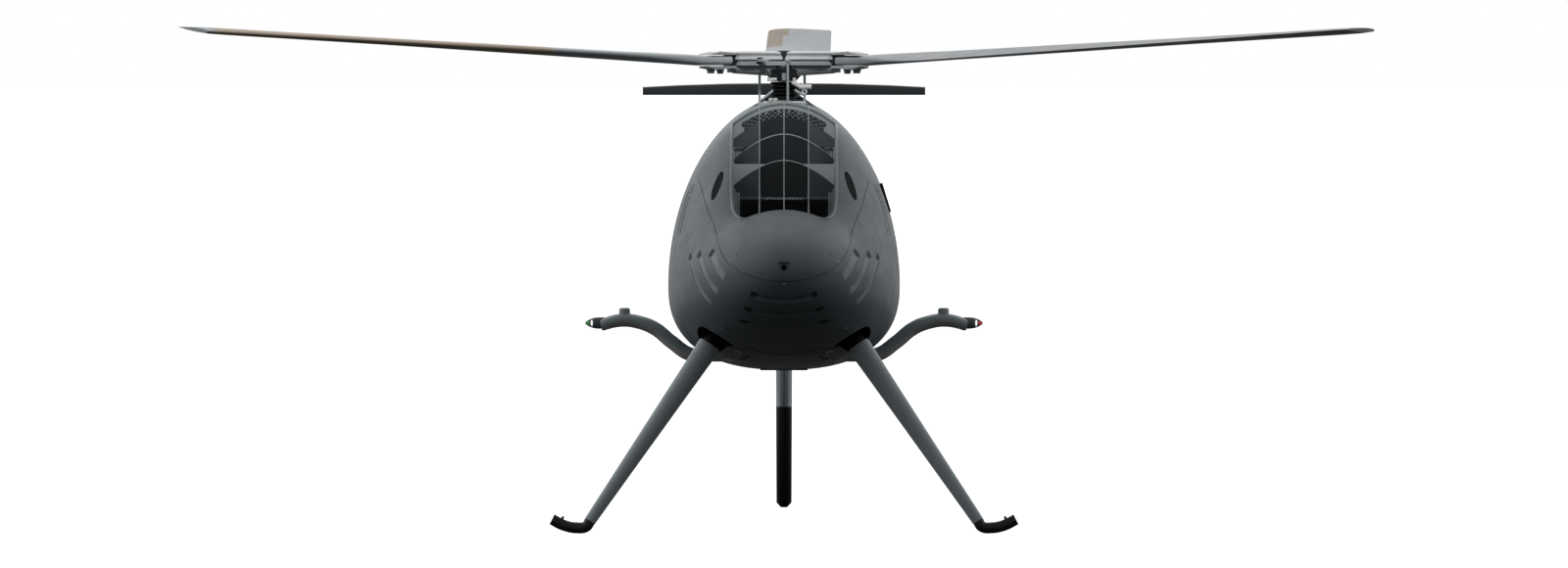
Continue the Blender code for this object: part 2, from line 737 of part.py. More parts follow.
hub = turned(
    ((0.040, 1.2005), (0.040, 1.158), (0.055, 1.154), (0.030, 1.1251), (0.0, 1.1251), (0.0, 1.2005))
)
hub.location = at(0, 0, 0)
bores = []
for degrees in blade_turns.values():
    turn = Matrix.Translation(at(0, 0, 0)) @ Matrix.Rotation(math.radians(degrees), 4, "Z")
    arm = hub_arm()
    bearing = cylinder((0.020, 0, 1.1600), (0.146, 0, 1.1600), 0.0225, 20, 0.0150)
    boolean(bearing, cutter(box((0, -0.05, 1.1680), (0.20, 0.05, 1.20)), "bearing_top"))
    bore = box((0.0400, -SPAR_HALF - GAP, SPAR_LOW - GAP), (0.20, SPAR_HALF + GAP, SPAR_HIGH + GAP))
    pocket = box((HORN_ROOT[0] - GAP, 0.0, SPAR_LOW - GAP), (HORN_ROOT[1] + GAP, 0.05, SPAR_HIGH + GAP))
    for part in (arm, bearing, bearing.modifiers[0].object, bore, pocket):
        part.matrix_world = turn @ part.matrix_world
    boolean(hub, cutter(arm, "hub_arm"), "UNION")
    boolean(hub, cutter(bearing, "bearing"), "UNION")
    bores += [bore, pocket]
for bore in bores:
    boolean(hub, cutter(bore, "spar_bore"))
piece(hub, "rotor_hub", SILVER, 0.3, 0.9)

cap = turned(
    ((0.0, 1.212), (0.008, 1.212), (0.010, 1.207), (0.024, 1.205), (0.024, 1.2013), (0.0, 1.2013))
)
cap.location = at(0, 0, 0)
piece(cap, "hub_cap", SILVER, 0.3, 0.9)

# Blade grips with their pitch horns, the links and the three main blades
GRIP_START = 0.1526
GRIP_END = 0.2290
HORN_SIDE = LINK_RADIUS * math.sin(math.radians(LINK_LEAD))
HORN_ALONG = LINK_RADIUS * math.cos(math.radians(LINK_LEAD))
HORN_Z = 1.1775
HORN_LOW, HORN_HIGH = 1.1735, 1.1815
HORN_HALF = 0.005
BOLT_SPANS = (0.1840, 0.2110)
BOLT_RADIUS = 0.0085
GRIP_HALF = 0.030
GRIP_NECK = 0.021
NECK_END = 0.1640
UPPER_TONGUE = ((GRIP_START, 1.1912), (GRIP_START, 1.1975), (0.170, 1.2000), (0.204, 1.2000),
                (GRIP_END, 1.1955), (GRIP_END, 1.1912))
LOWER_TONGUE = ((GRIP_START, 1.1580), (GRIP_START, 1.1640), (GRIP_END, 1.1640), (GRIP_END, 1.1560),
                (0.200, 1.1560))


def airfoil(chord, thickness, leading, count=11):
    """Closed outline of a symmetric aerofoil: (offset towards the leading edge, height)."""
    upper = []
    for k in range(count):
        c = (1 - math.cos(math.pi * k / (count - 1))) / 2
        t = 0.2969 * math.sqrt(c) - 0.126 * c - 0.3516 * c**2 + 0.2843 * c**3 - 0.1036 * c**4
        t *= 5 * thickness
        upper.append((leading - chord * c, max(t, 0.0004)))
    lower = [(v, -h) for v, h in reversed(upper[1:])]
    return upper + lower


def blade_sections():
    """(span, chord, thickness, leading offset, blend from oval to aerofoil)."""
    yield NECK_END + GAP, 0.056, 0.0235, 0.028, 0.0
    yield 0.2300, 0.056, 0.0235, 0.028, 0.0
    yield 0.2500, 0.061, 0.0260, 0.030, 0.1
    yield 0.3100, 0.090, 0.0255, 0.036, 0.5
    yield 0.4000, 0.140, 0.0235, 0.046, 1.0
    yield 0.4800, CHORD, 0.0215, LEADING, 1.0
    yield 0.8300, CHORD, 0.0200, LEADING, 1.0
    yield 1.1100, CHORD, 0.0172, LEADING, 1.0
    yield 1.5800, CHORD, 0.0158, LEADING, 1.0
    yield 1.6300, CHORD - 0.002, 0.0145, LEADING - 0.001, 1.0
    yield ROTOR_RADIUS, CHORD - 0.008, 0.0105, LEADING - 0.004, 1.0


def blade_rings(cyclic):
    """Sections from root to tip, nose up at the root, twisted down towards the tip, plus the cyclic angle."""
    rings = []
    for span, chord, thickness, leading, blend in blade_sections():
        wing = airfoil(chord, thickness, leading)
        ring = []
        pitch = math.radians(ROOT_PITCH - TWIST_RATE * max(0.0, span - TWIST_START) + cyclic)
        rise = HUB_Z + max(0.0, span - CONING_START) * math.tan(CONING)
        for k, (v, h) in enumerate(wing):
            angle = 2 * math.pi * (k + 0.5) / len(wing)
            oval_v = leading - chord / 2 + chord / 2 * power(math.cos(angle), 0.6)
            oval_h = thickness / 2 * power(math.sin(angle), 0.6)
            v = oval_v + (v - oval_v) * blend
            h = oval_h + (h - oval_h) * blend
            height = rise + h * math.cos(pitch) + v * math.sin(pitch)
            ring.append((span, v * math.cos(pitch) - h * math.sin(pitch), height))
        rings.append(ring)
    return rings


for word, degrees in blade_turns.items():
    turn = Matrix.Translation(at(0, 0, 0)) @ Matrix.Rotation(math.radians(degrees), 4, "Z")
    grip = box((0.0405, -SPAR_HALF, SPAR_LOW), (0.160, SPAR_HALF, SPAR_HIGH))
    neck = box((GRIP_START, -GRIP_NECK, 1.1560), (NECK_END, GRIP_NECK, 1.1990))
    upper = prism(UPPER_TONGUE, -GRIP_HALF, GRIP_HALF, "Y")
    lower = prism(LOWER_TONGUE, -GRIP_HALF, GRIP_HALF, "Y")
    for part in (neck, upper, lower):
        boolean(grip, cutter(part, "grip_fork"), "UNION")
    inner, outer = HORN_ROOT
    near, far = HORN_SIDE - HORN_HALF, HORN_SIDE + HORN_HALF
    for low, high in (((inner, 0.015, HORN_LOW), (outer, far, HORN_HIGH)),
                      ((HORN_ALONG + EYE_RADIUS + GAP, near, HORN_LOW), (outer, far, HORN_HIGH))):
        boolean(grip, cutter(box(low, high), "pitch_horn"), "UNION")
    for span in BOLT_SPANS:
        for low, high in ((1.1430, 1.1590), (1.1980, 1.2045)):
            bolt = cylinder((span, 0, low), (span, 0, high), BOLT_RADIUS, 12)
            boolean(grip, cutter(bolt, "clamp_bolt"), "UNION")
    grip.matrix_world = turn @ grip.matrix_world
    for step in grip.modifiers:
        step.object.matrix_world = turn @ step.object.matrix_world
    piece(grip, "blade_grip_" + word, SILVER, 0.35, 0.8, smooth=False)

    low_eye = polar(LINK_RADIUS, degrees + LINK_LEAD, EYE_Z)
    high_eye = polar(LINK_RADIUS, degrees + LINK_LEAD, HORN_Z)
    link = cylinder(low_eye, high_eye, 0.0032, 12)
    boolean(link, cutter(ball(low_eye, EYE_RADIUS), "link_eye"), "UNION")
    boolean(link, cutter(ball(high_eye, EYE_RADIUS), "link_eye"), "UNION")
    piece(link, "pitch_link_" + word, SILVER, 0.35, 0.9)

    blade = loft(blade_rings(CYCLIC[word]))
    blade.matrix_world = turn
    piece(blade, "main_blade_" + word, SILVER, 0.4)

# Landing legs, feet and the arms of the navigation lights
ARM_AFT = -0.05
ARM_PATH = (
    (0.150, 0.4391),
    (0.190, 0.4392),
    (0.2334, 0.4398),
    (0.2826, 0.4717),
    (0.3219, 0.5036),
    (0.3587, 0.5196),
    (0.4080, 0.5258),
    (0.4700, 0.5100),
)
ARM_END = 0.4590
LAMP_Z = 0.5190
ARM_RADII = (0.0178, 0.0178, 0.0178, 0.0178, 0.0178, 0.0175, 0.0170, 0.0146)
ARM_DEPTH = 1.6

for side, word in ((1, "port"), (-1, "starboard")):
    top, foot, run = leg_direction(side)
    leg = cylinder(at(*(top - run * 0.045)), at(*foot), LEG_RADII[0], 24, LEG_RADII[1])
    piece(leg, "landing_leg_" + word, GREY, 0.45)

    start = foot + run * GAP
    bend = [start, start + run * 0.016, Vector((side * 0.5150, foot[1], FOOT_RADIUS + 0.0001)),
            Vector((side * 0.5480, foot[1], 0.0205)), Vector((side * 0.5775, foot[1], 0.0355))]
    shoe = tube([at(*point) for point in bend], FOOT_RADIUS, 2, 4)
    nub = cylinder(at(side * 0.5565, foot[1], 0.025), at(side * 0.5493, foot[1], 0.0430), 0.0036, 10)
    boolean(shoe, cutter(nub, "foot_nub_" + word), "UNION")
    piece(shoe, "skid_foot_" + word, BLACK, 0.6)

    swells = [radius / ARM_RADII[0] for radius in ARM_RADII]
    arm = tube([(side * x, 0, z) for x, z in ARM_PATH], ARM_RADII[0], 2, 3, swells)
    arm.scale = (1, ARM_DEPTH, 1)
    arm.location = at(0, ARM_AFT, 0)
    boolean(arm, seat_body)
    ends = sorted((side * ARM_END, side * (ARM_END + 0.05)))
    tip = box(at(ends[0], ARM_AFT - 0.1, 0.4), at(ends[1], ARM_AFT + 0.1, 0.6))
    boolean(arm, cutter(tip, "arm_end_" + word))
    stub = cylinder(at(side * 0.400, ARM_AFT, 0.53), at(side * 0.400, ARM_AFT, 0.5570), 0.0140, 20)
    boolean(arm, cutter(stub, "antenna_" + word), "UNION")
    piece(arm, "light_arm_" + word, GREY, 0.45)

    cone = ((0.0, 0.040), (0.004, 0.038), (0.0095, 0.026), (0.0125, 0.014), (0.0145, 0.0), (0.0, 0.0))
    lamp = turned(cone, 20)
    lamp.rotation_euler = (0, side * math.radians(90), 0)
    lamp.location = at(side * (ARM_END + GAP), ARM_AFT, LAMP_Z)
    piece(lamp, "nav_light_" + word, (0.02, 0.5, 0.2) if side < 0 else (0.6, 0.02, 0.02), 0.15)


# Tail: fins above and below the boom, ground bumper and tailplane
def fin_ring(z, chord, thickness, leading_aft):
    return [at(h, leading_aft + (LEADING - v), z) for v, h in airfoil(chord, thickness, LEADING, 9)]


def fin_section(z):
    """Chord, thickness and leading edge of the tail fin at a height."""
    if z > TAIL_ROTOR_Z:
        t = (z - TAIL_ROTOR_Z) / (TAILPLANE_Z - TAIL_ROTOR_Z)
        return 0.250 - 0.070 * t, FIN_THICKNESS - 0.016 * t, FIN_AFT - 0.115 + 0.015 * t
    t = (TAIL_ROTOR_Z - z) / TAIL_ROTOR_Z
    return 0.250 - 0.130 * t, FIN_THICKNESS - 0.006 * t, FIN_AFT - 0.115 + 0.055 * t


upper_fin = loft([fin_ring(z, *fin_section(z)) for z in (0.72, TAILPLANE_Z - GAP)])
boolean(upper_fin, boom_seat)
piece(upper_fin, "fin_upper", GREY, 0.42)
lower_fin = loft([fin_ring(z, *fin_section(z)) for z in (BUMPER_TOP + GAP, 0.5, 0.74)])
boolean(lower_fin, boom_seat)
piece(lower_fin, "fin_lower", GREY, 0.42)
bumper_rings = [fin_ring(z, *fin_section(z)) for z in (0.012, BUMPER_TOP)]
chord, thickness, leading_aft = fin_section(0.012)
bumper_rings.insert(0, fin_ring(0.0, chord - 0.024, thickness * 0.45, leading_aft + 0.010))
bumper = loft(bumper_rings)
piece(bumper, "fin_bumper", BLACK, 0.55)

PLANE_SHAPE = [(0.0, 0.55), (0.004, 0.80), (0.016, 0.93), (0.05, 1.0), (0.30, 1.0), (0.60, 0.72), (1.0, 0.06)]
plane_rings = []
for share in (-1.0, -0.75, -0.4, 0.0, 0.4, 0.75, 1.0):
    chord = 0.205 - 0.045 * abs(share)
    thick = 0.0315 - 0.0105 * abs(share) ** 2.2
    leading_aft = FIN_AFT - 0.105 + 0.02 * abs(share)
    ring = []
    for along, level in PLANE_SHAPE + [(along, -level) for along, level in reversed(PLANE_SHAPE)]:
        height = TAILPLANE_Z + thick / 2 + thick / 2 * level
        ring.append(at(TAILPLANE_HALF * share, leading_aft + chord * along, height))
    plane_rings.append(ring)
piece(loft(plane_rings), "tailplane", GREY, 0.42)

# Tail rotor on the port side
def tail_shaft(start, end, radius, end_radius=None):
    low, high = (at(x, TAIL_ROTOR_AFT, TAIL_ROTOR_Z) for x in (start, end))
    return cylinder(low, high, radius, 28, end_radius)


gear_case = tail_shaft(0.020, 0.066, 0.030, 0.024)
boolean(gear_case, boom_seat)
tail_bore = tail_shaft(0.046, 0.10, 0.0087)
boolean(gear_case, cutter(tail_bore, "tail_bore"))
piece(gear_case, "tail_gearbox", SILVER, 0.4, 0.8)

tail_hub = tail_shaft(0.050, 0.112, 0.0080)
yoke = box(
    at(TAIL_ROTOR_X - 0.009, TAIL_ROTOR_AFT - 0.040, TAIL_ROTOR_Z - 0.014),
    at(TAIL_ROTOR_X + 0.009, TAIL_ROTOR_AFT + 0.040, TAIL_ROTOR_Z + 0.014),
)
boolean(tail_hub, cutter(yoke, "tail_yoke"), "UNION")
piece(tail_hub, "tail_rotor_hub", SILVER, 0.35, 0.9)

for sign, word in ((-1, "front"), (1, "rear")):
    rings = []
    for span, chord, thick in ((0.0403, 0.026, 0.012), (0.075, 0.030, 0.010), (0.110, 0.052, 0.0075),
                               (0.265, 0.050, 0.0065), (TAIL_ROTOR_RADIUS, 0.042, 0.004)):
        outline = airfoil(chord, thick, chord * 0.4, 7)
        rings.append(
            [at(TAIL_ROTOR_X + h, TAIL_ROTOR_AFT + sign * span, TAIL_ROTOR_Z - sign * v) for v, h in outline]
        )
    piece(loft(rings), "tail_blade_" + word, GREY, 0.4)

# Service connector: a low box that lies along the port flank
CONNECTOR_PLACE = (0.2583, -0.0075, 0.8318)
CONNECTOR_SIZE = (0.016, 0.075, 0.0758)
CONNECTOR_TILT = math.radians(17)
depth, length, height = CONNECTOR_SIZE
connector = box((-depth, -length / 2, -height / 2), (0, length / 2, height / 2))
connector.rotation_euler = (0, -CONNECTOR_TILT, 0)
connector.location += Vector(at(*CONNECTOR_PLACE))
boolean(connector, seat_body)
piece(connector, "service_connector", BLACK, 0.5, smooth=False)
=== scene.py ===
from math import atan, atan2, copysign, cos, hypot, pi, radians, sin, sqrt, tan

import bmesh
import bpy
import numpy as np
from mathutils import Matrix, Vector


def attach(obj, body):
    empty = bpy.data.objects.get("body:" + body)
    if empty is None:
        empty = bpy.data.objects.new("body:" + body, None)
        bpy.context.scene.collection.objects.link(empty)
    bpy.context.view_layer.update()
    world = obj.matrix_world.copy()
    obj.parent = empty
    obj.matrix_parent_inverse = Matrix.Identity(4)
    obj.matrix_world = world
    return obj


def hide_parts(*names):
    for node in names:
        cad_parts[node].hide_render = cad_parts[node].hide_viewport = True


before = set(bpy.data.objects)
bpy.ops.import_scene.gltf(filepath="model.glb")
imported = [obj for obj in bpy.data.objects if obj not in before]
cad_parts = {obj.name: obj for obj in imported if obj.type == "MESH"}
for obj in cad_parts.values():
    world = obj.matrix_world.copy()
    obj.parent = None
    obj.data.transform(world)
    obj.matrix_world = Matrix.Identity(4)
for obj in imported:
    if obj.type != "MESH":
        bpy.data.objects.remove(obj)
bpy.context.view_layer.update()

# Studio: a camera with a very long lens stands 38 m ahead of the mast, a little above the hub's height.
# A wide pale floor runs out under a white sky. The light comes from a bright backdrop behind the aircraft,
# about half of it from the sides and little from ahead, and one soft lamp picks out the rotor head.
MAST_Y = -0.7045
CAMERA_DISTANCE, CAMERA_HEIGHT = 38.4, 1.226
# Pixels from the picture's middle up to the horizon, and pixels that make one unit of slope
HORIZON_PIXELS, LENS_PIXELS = 248, 15610


def put(name, data):
    thing = bpy.data.objects.new(name, data)
    bpy.context.scene.collection.objects.link(thing)
    return thing


def wire_up(tree, node, inputs):
    """Gives a shader node its inputs: each is a value or another node's output."""
    for name, value in inputs.items():
        if isinstance(value, bpy.types.NodeSocket):
            tree.links.new(value, node.inputs[name])
        else:
            node.inputs[name].default_value = value


def add_node(tree, kind, inputs=None, **settings):
    node = tree.nodes.new("ShaderNode" + kind)
    for name, value in settings.items():
        setattr(node, name, value)
    wire_up(tree, node, inputs or {})
    return node


def set_look(look, inputs):
    wire_up(look.node_tree, look.node_tree.nodes["Principled BSDF"], inputs)


camera_data = bpy.data.cameras.new("camera")
camera_data.sensor_width = 36
camera_data.lens = 351.2
camera_data.clip_end = 400
camera = put("camera", camera_data)
camera.location = (0, MAST_Y - CAMERA_DISTANCE, CAMERA_HEIGHT)
camera.rotation_euler = (radians(90) - atan(HORIZON_PIXELS / LENS_PIXELS), 0, 0)
bpy.context.scene.camera = camera
bpy.context.scene.view_settings.view_transform = "Standard"

world = bpy.context.scene.world = bpy.data.worlds.new("studio")
world.use_nodes = True
sky = world.node_tree
sky.nodes.clear()
sky_place = add_node(sky, "TexCoord").outputs["Generated"]


def sky_ramp(direction, levels):
    """Light levels along a direction, from its far side at -1 to its near side at 1."""
    along = add_node(sky, "VectorMath", {0: sky_place, 1: direction}, operation="DOT_PRODUCT")
    span = add_node(sky, "MapRange", {"From Min": -1, "Value": along.outputs["Value"]})
    node = add_node(sky, "ValToRGB", {"Fac": span.outputs["Result"]})
    ramp = node.color_ramp
    ramp.interpolation = "B_SPLINE"
    ramp.elements.remove(ramp.elements[0])
    for index, (place, level) in enumerate(levels):
        stop = ramp.elements.new((place + 1) / 2) if index else ramp.elements[0]
        stop.position = (place + 1) / 2
        stop.color = (level, level, level, 1)
    return node.outputs["Color"]


depth_light = sky_ramp((-0.2, 0.98, 0), ((-1, 0.16), (-0.5, 0.08), (0, 0.48), (0.5, 0.72), (1, 1)))
height_light = sky_ramp((0, 0, 1), ((-1, 0.02), (-0.5, 0.01), (-0.2, 0.05), (0, 0.34), (0.3, 0.66), (0.65, 1),
                                    (0.87, 0.3), (1, 0.1)))
both = add_node(sky, "VectorMath", {0: depth_light, 1: height_light}, operation="MULTIPLY")
soft_light = add_node(sky, "Background", {"Strength": 2.05, "Color": both.outputs["Vector"]})
seen_white = add_node(sky, "Background", {"Color": (1, 1, 1, 1)})
ray_kind = add_node(sky, "LightPath")
seen_mix = add_node(sky, "MixShader", {"Fac": ray_kind.outputs["Is Camera Ray"], 1: soft_light.outputs[0],
                                       2: seen_white.outputs[0]})
add_node(sky, "OutputWorld", {"Surface": seen_mix.outputs[0]})

head_light = bpy.data.lights.new("head_light", "SPOT")
head_light.energy = 1900
head_light.spot_size = radians(5)
head_light.spot_blend = 0.8
head_light.shadow_soft_size = 0.3
head_lamp = put("head_light", head_light)
head_lamp.location = (0, MAST_Y - 6.0, 5.2)
head_lamp.rotation_euler = (atan2(6.0, 3.95), 0, 0)

bpy.ops.mesh.primitive_plane_add(size=900, location=(0, 0, -0.0005))
floor = bpy.context.object
floor.name = "studio_floor"
floor.visible_diffuse = floor.visible_glossy = False
floor_look = bpy.data.materials.new("studio_floor")
floor_look.use_nodes = True
set_look(floor_look, {
    "Base Color": (0.85, 0.85, 0.85, 1), "Roughness": 0.9, "Specular IOR Level": 0.0,
    "Emission Color": (1, 1, 1, 1), "Emission Strength": 0.84})
floor.data.materials.append(floor_look)

# Cowls: the nose, lower and rear shells are moulded composite skins 6 mm thick, sprayed satin grey.
# They meet at open joints half a millimetre wide, and small screws along the joints hold them down.
SKIN, GAP = 0.006, 0.0003
NOSE_AFT, WIDEST_AFT = -0.735, 0.05
HOOD_END, SHELL_END = 0.3, 0.95
CROWN_POWER, BELLY_POWER = 1.93, 2.45
# Stations: aft of the mast, half width, height of the widest line, rise above it, depth below it
STATIONS = (
    (-0.735, 0.2915, 0.655, 0.2, 0.215),
    (-0.5, 0.2915, 0.64, 0.235, 0.215),
    (-0.3, 0.2915, 0.625, 0.357, 0.215),
    (-0.1, 0.2915, 0.617, 0.4625, 0.215),
    (0.05, 0.2915, 0.614, 0.47, 0.215),
    (0.25, 0.274, 0.62, 0.445, 0.21),
    (0.5, 0.205, 0.655, 0.33, 0.185),
    (0.75, 0.122, 0.705, 0.18, 0.125),
    (1.0, 0.062, 0.74, 0.075, 0.068),
    (1.75, 0.042, 0.735, 0.045, 0.045),
    (2.12, 0.036, 0.725, 0.038, 0.038),
)


def at(x, aft, z):
    return Vector((x, MAST_Y + aft, z))


def coat(name, colour, roughness, vary=0.05, wear=0.0, gloss=0.35, grain=900.0, bump=0.00006, metallic=0.0):
    """Sprayed or moulded finish: a tone that varies in faint clouds, fine grain, uneven sheen, worn edges."""
    look = bpy.data.materials.new(name)
    look.use_nodes = True
    tree = look.node_tree
    place = add_node(tree, "TexCoord").outputs["Object"]

    def noise(scale, detail):
        return add_node(tree, "TexNoise", {"Scale": scale, "Detail": detail, "Vector": place}).outputs["Fac"]

    def spread(source, low, high, start=0.3, end=0.7):
        node = add_node(tree, "MapRange", {"From Min": start, "From Max": end, "To Min": low, "To Max": high,
                                           "Value": source})
        return node.outputs["Result"]

    def blend(share, base, over):
        node = add_node(tree, "Mix", {"Factor": share, "A": base, "B": over}, data_type="RGBA")
        return node.outputs["Result"]

    def tint(gain, lift=0.0):
        return (*(min(1.0, lift + c * gain) for c in colour), 1)

    surface = blend(spread(noise(7.0, 5.0), 0.0, 1.0), tint(1 - vary), tint(1 + vary))
    if wear:
        rounded = add_node(tree, "Bevel", {"Radius": 0.0014}, samples=4).outputs["Normal"]
        flat = add_node(tree, "NewGeometry").outputs["Normal"]
        agree = add_node(tree, "VectorMath", {0: rounded, 1: flat}, operation="DOT_PRODUCT").outputs["Value"]
        chips = add_node(tree, "Math", {0: spread(agree, 0.0, wear, 0.985, 0.9),
                                        1: spread(noise(160.0, 3.0), 0.1, 1.0)}, operation="MULTIPLY")
        surface = blend(chips.outputs["Value"], surface, tint(1.9, 0.06))
    relief = add_node(tree, "Bump", {"Distance": bump, "Strength": 1.0, "Height": noise(grain, 2.0)})
    set_look(look, {
        "Metallic": metallic, "Specular IOR Level": gloss, "Base Color": surface,
        "Roughness": spread(noise(22.0, 4.0), roughness - 0.05, roughness + 0.06),
        "Normal": relief.outputs["Normal"]})
    return look


def smooth(points, x):
    """Monotone cubic curve through (x, value) points."""
    xs, ys = zip(*points)
    if not xs[0] < x < xs[-1]:
        return ys[0] if x <= xs[0] else ys[-1]
    slopes = [(y2 - y1) / (x2 - x1) for x1, x2, y1, y2 in zip(xs, xs[1:], ys, ys[1:])]
    tangents = [slopes[0]]
    for before, after in zip(slopes, slopes[1:]):
        tangents.append(0.0 if before * after <= 0 else 2 * before * after / (before + after))
    tangents.append(slopes[-1])
    i = max(k for k in range(len(xs) - 1) if xs[k] <= x)
    width = xs[i + 1] - xs[i]
    t = (x - xs[i]) / width
    value = (2 * t**3 - 3 * t**2 + 1) * ys[i] + (t**3 - 2 * t**2 + t) * width * tangents[i]
    return value + (3 * t**2 - 2 * t**3) * ys[i + 1] + (t**3 - t**2) * width * tangents[i + 1]


def section(aft, inset=0.0):
    """Half width, widest height, rise and depth of the body at a station."""
    half, widest, rise, depth = (smooth([(s[0], s[k]) for s in STATIONS], aft) for k in (1, 2, 3, 4))
    along = max(0.0, (WIDEST_AFT - aft) / (WIDEST_AFT - NOSE_AFT - inset))
    swell = sqrt(max(0.0, 1.0 - along**2))
    return (half - inset) * swell, widest, (rise - inset) * swell, (depth - inset) * swell


def power(value, exponent):
    return copysign(abs(value) ** exponent, value)


def around(count):
    return [2 * pi * k / count for k in range(count)]


def ring_at(aft, inset, count):
    half, widest, rise, depth = section(aft, inset)
    roundness = min(1.0, max(0.0, (aft - HOOD_END) / (SHELL_END - HOOD_END)))
    belly = BELLY_POWER + (2.0 - BELLY_POWER) * roundness
    ring = []
    for a in around(count):
        tall, exponent = (rise, 2 / CROWN_POWER) if cos(a) > 0 else (depth, 2 / belly)
        ring.append(at(half * power(sin(a), exponent), aft, widest + tall * power(cos(a), exponent)))
    return ring


def crown(aft, x):
    half, widest, rise = section(aft)[:3]
    return widest + rise * (1 - (abs(x) / half) ** CROWN_POWER) ** (1 / CROWN_POWER)


def solid(builder):
    mesh = bpy.data.meshes.new("piece")
    bmesh.ops.recalc_face_normals(builder, faces=builder.faces)
    builder.to_mesh(mesh)
    builder.free()
    return put("piece", mesh)


def loft(rings, first_tip=None, last_tip=None, loop=False):
    """Skin over rings of equally many points, closed with tips or flat faces, or round in a loop."""
    builder = bmesh.new()
    made = [[builder.verts.new(point) for point in ring] for ring in rings]
    count = len(made[0])
    for ring, following in zip(made, made[1:] + made[:1] if loop else made[1:]):
        for i in range(count):
            j = (i + 1) % count
            builder.faces.new((ring[i], ring[j], following[j], following[i]))
    for ring, tip in () if loop else ((made[0], first_tip), (made[-1], last_tip)):
        if tip is None:
            builder.faces.new(ring)
            continue
        point = builder.verts.new(tip)
        for i in range(count):
            builder.faces.new((ring[i], ring[(i + 1) % count], point))
    return solid(builder)


def block(low, high):
    builder = bmesh.new()
    low, high = Vector(low), Vector(high)
    place = Matrix.Translation((low + high) / 2) @ Matrix.Diagonal((*(high - low), 1))
    bmesh.ops.create_cube(builder, size=1.0, matrix=place)
    return solid(builder)


def body_solid(inset, count, nose_step, rear_step):
    reach = WIDEST_AFT - NOSE_AFT
    nose = [WIDEST_AFT - reach * cos(radians(nose_step * k)) for k in range(1, int(88 / nose_step))]
    rear = list(np.arange(WIDEST_AFT, SHELL_END + 0.06, rear_step))
    rings = [ring_at(aft, inset, count) for aft in nose + rear]
    return loft(rings, first_tip=at(0, NOSE_AFT + inset, STATIONS[0][2]))


def prism(outline, low, high, axis):
    """Flat outline pushed along one axis: the outline's points are the two other coordinates."""
    order = {"X": (2, 0, 1), "Y": (0, 2, 1), "Z": (0, 1, 2)}[axis]
    return loft([[[(u, v, w)[k] for k in order] for u, v in outline] for w in (low, high)])


def cut(obj, tools, operation="DIFFERENCE"):
    """Cuts obj with each tool, keeps the result as its mesh, and removes the tools."""
    for tool in tools:
        step = obj.modifiers.new("cut", "BOOLEAN")
        step.operation = operation
        step.solver = "EXACT"
        step.object = tool
        step.material_mode = "INDEX"
    bpy.context.view_layer.update()
    result = bpy.data.meshes.new_from_object(obj.evaluated_get(bpy.context.evaluated_depsgraph_get()))
    obj.modifiers.clear()
    obj.data = result
    for tool in tools:
        bpy.data.objects.remove(tool)


def fit(obj, name, look, hides=None, slot=None, body="airframe", angle=32, bevel=0.0):
    """Names a piece, shades it round, gives it its material and puts it on a moving or fixed body."""
    obj.name = name
    obj.data.name = name
    if obj.data.materials:
        obj.data.materials[0] = look
    else:
        obj.data.materials.append(look)
    if bevel:
        edge = obj.modifiers.new("edge", "BEVEL")
        edge.width = bevel
        edge.segments = 2
        edge.limit_method = "ANGLE"
        edge.angle_limit = radians(angle)
        edge.harden_normals = True
    obj.data.shade_smooth()
    obj.data.set_sharp_from_angle(angle=radians(angle))
    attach(obj, body)
    if hides:
        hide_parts(hides)


def seam_height(aft):
    """Height of the straight joint between nose and lower cowl, which climbs aft."""
    return 0.644 + 0.4486 * (aft + 0.71)


def past_seam(far_z, shift):
    """Everything ahead of the rear shell from the seam, shifted a little, to a height."""
    edge = [(aft, seam_height(aft) + shift) for aft in (-1.0, HOOD_END)] + [(HOOD_END, far_z), (-1.0, far_z)]
    return prism([(MAST_Y + aft, z) for aft, z in edge], -0.5, 0.5, "X")


def intake_plan(grow):
    """Plan of the air intake, as (x, aft): square at the rear, with long round corners in front."""
    half, front, corner_half, corner_long = 0.127 + grow, -0.5 - grow, 0.042, 0.13
    right = [(half, -0.1 + grow)]
    for step in range(25):
        angle = radians(90 * step / 24)
        right.append((half - corner_half * (1 - cos(angle)), front + corner_long * (1 - sin(angle))))
    return right + [(-x, aft) for x, aft in reversed(right)]


def standing(point, direction):
    """Frame at a point with its Z along a direction."""
    return Matrix.Translation(point) @ Vector((0, 0, 1)).rotation_difference(direction).to_matrix().to_4x4()


def cylinder(start, end, radius, sides=32):
    start, end = Vector(start), Vector(end)
    builder = bmesh.new()
    bmesh.ops.create_cone(builder, cap_ends=True, segments=sides, radius1=radius, radius2=radius,
                          depth=(end - start).length, matrix=standing((start + end) / 2, end - start))
    return solid(builder)


def oval(half_x, half_z, x=0.0, z=0.0):
    return [(x + half_x * cos(a), z + half_z * sin(a)) for a in around(48)]


def vent_bar(side, grow):
    """Cutter for a side vent: an oval 31 by 76 mm across local X and Z, seen along local Y."""
    bar = prism(oval(0.0155 + grow, 0.038 + grow), -0.08, 0.08, "Y")
    turn = Matrix.Rotation(side * radians(38), 4, "Z") @ Matrix.Rotation(side * radians(22), 4, "Y")
    bar.data.transform(Matrix.Translation(at(side * 0.1665, -0.3, 0.865)) @ turn)
    return bar


FAR = 1.3
CAMERA_PORT = (0.0, 0.6704)
paint = coat("satin_grey_paint", (0.163, 0.2, 0.221), 0.46, 0.045, wear=0.25)

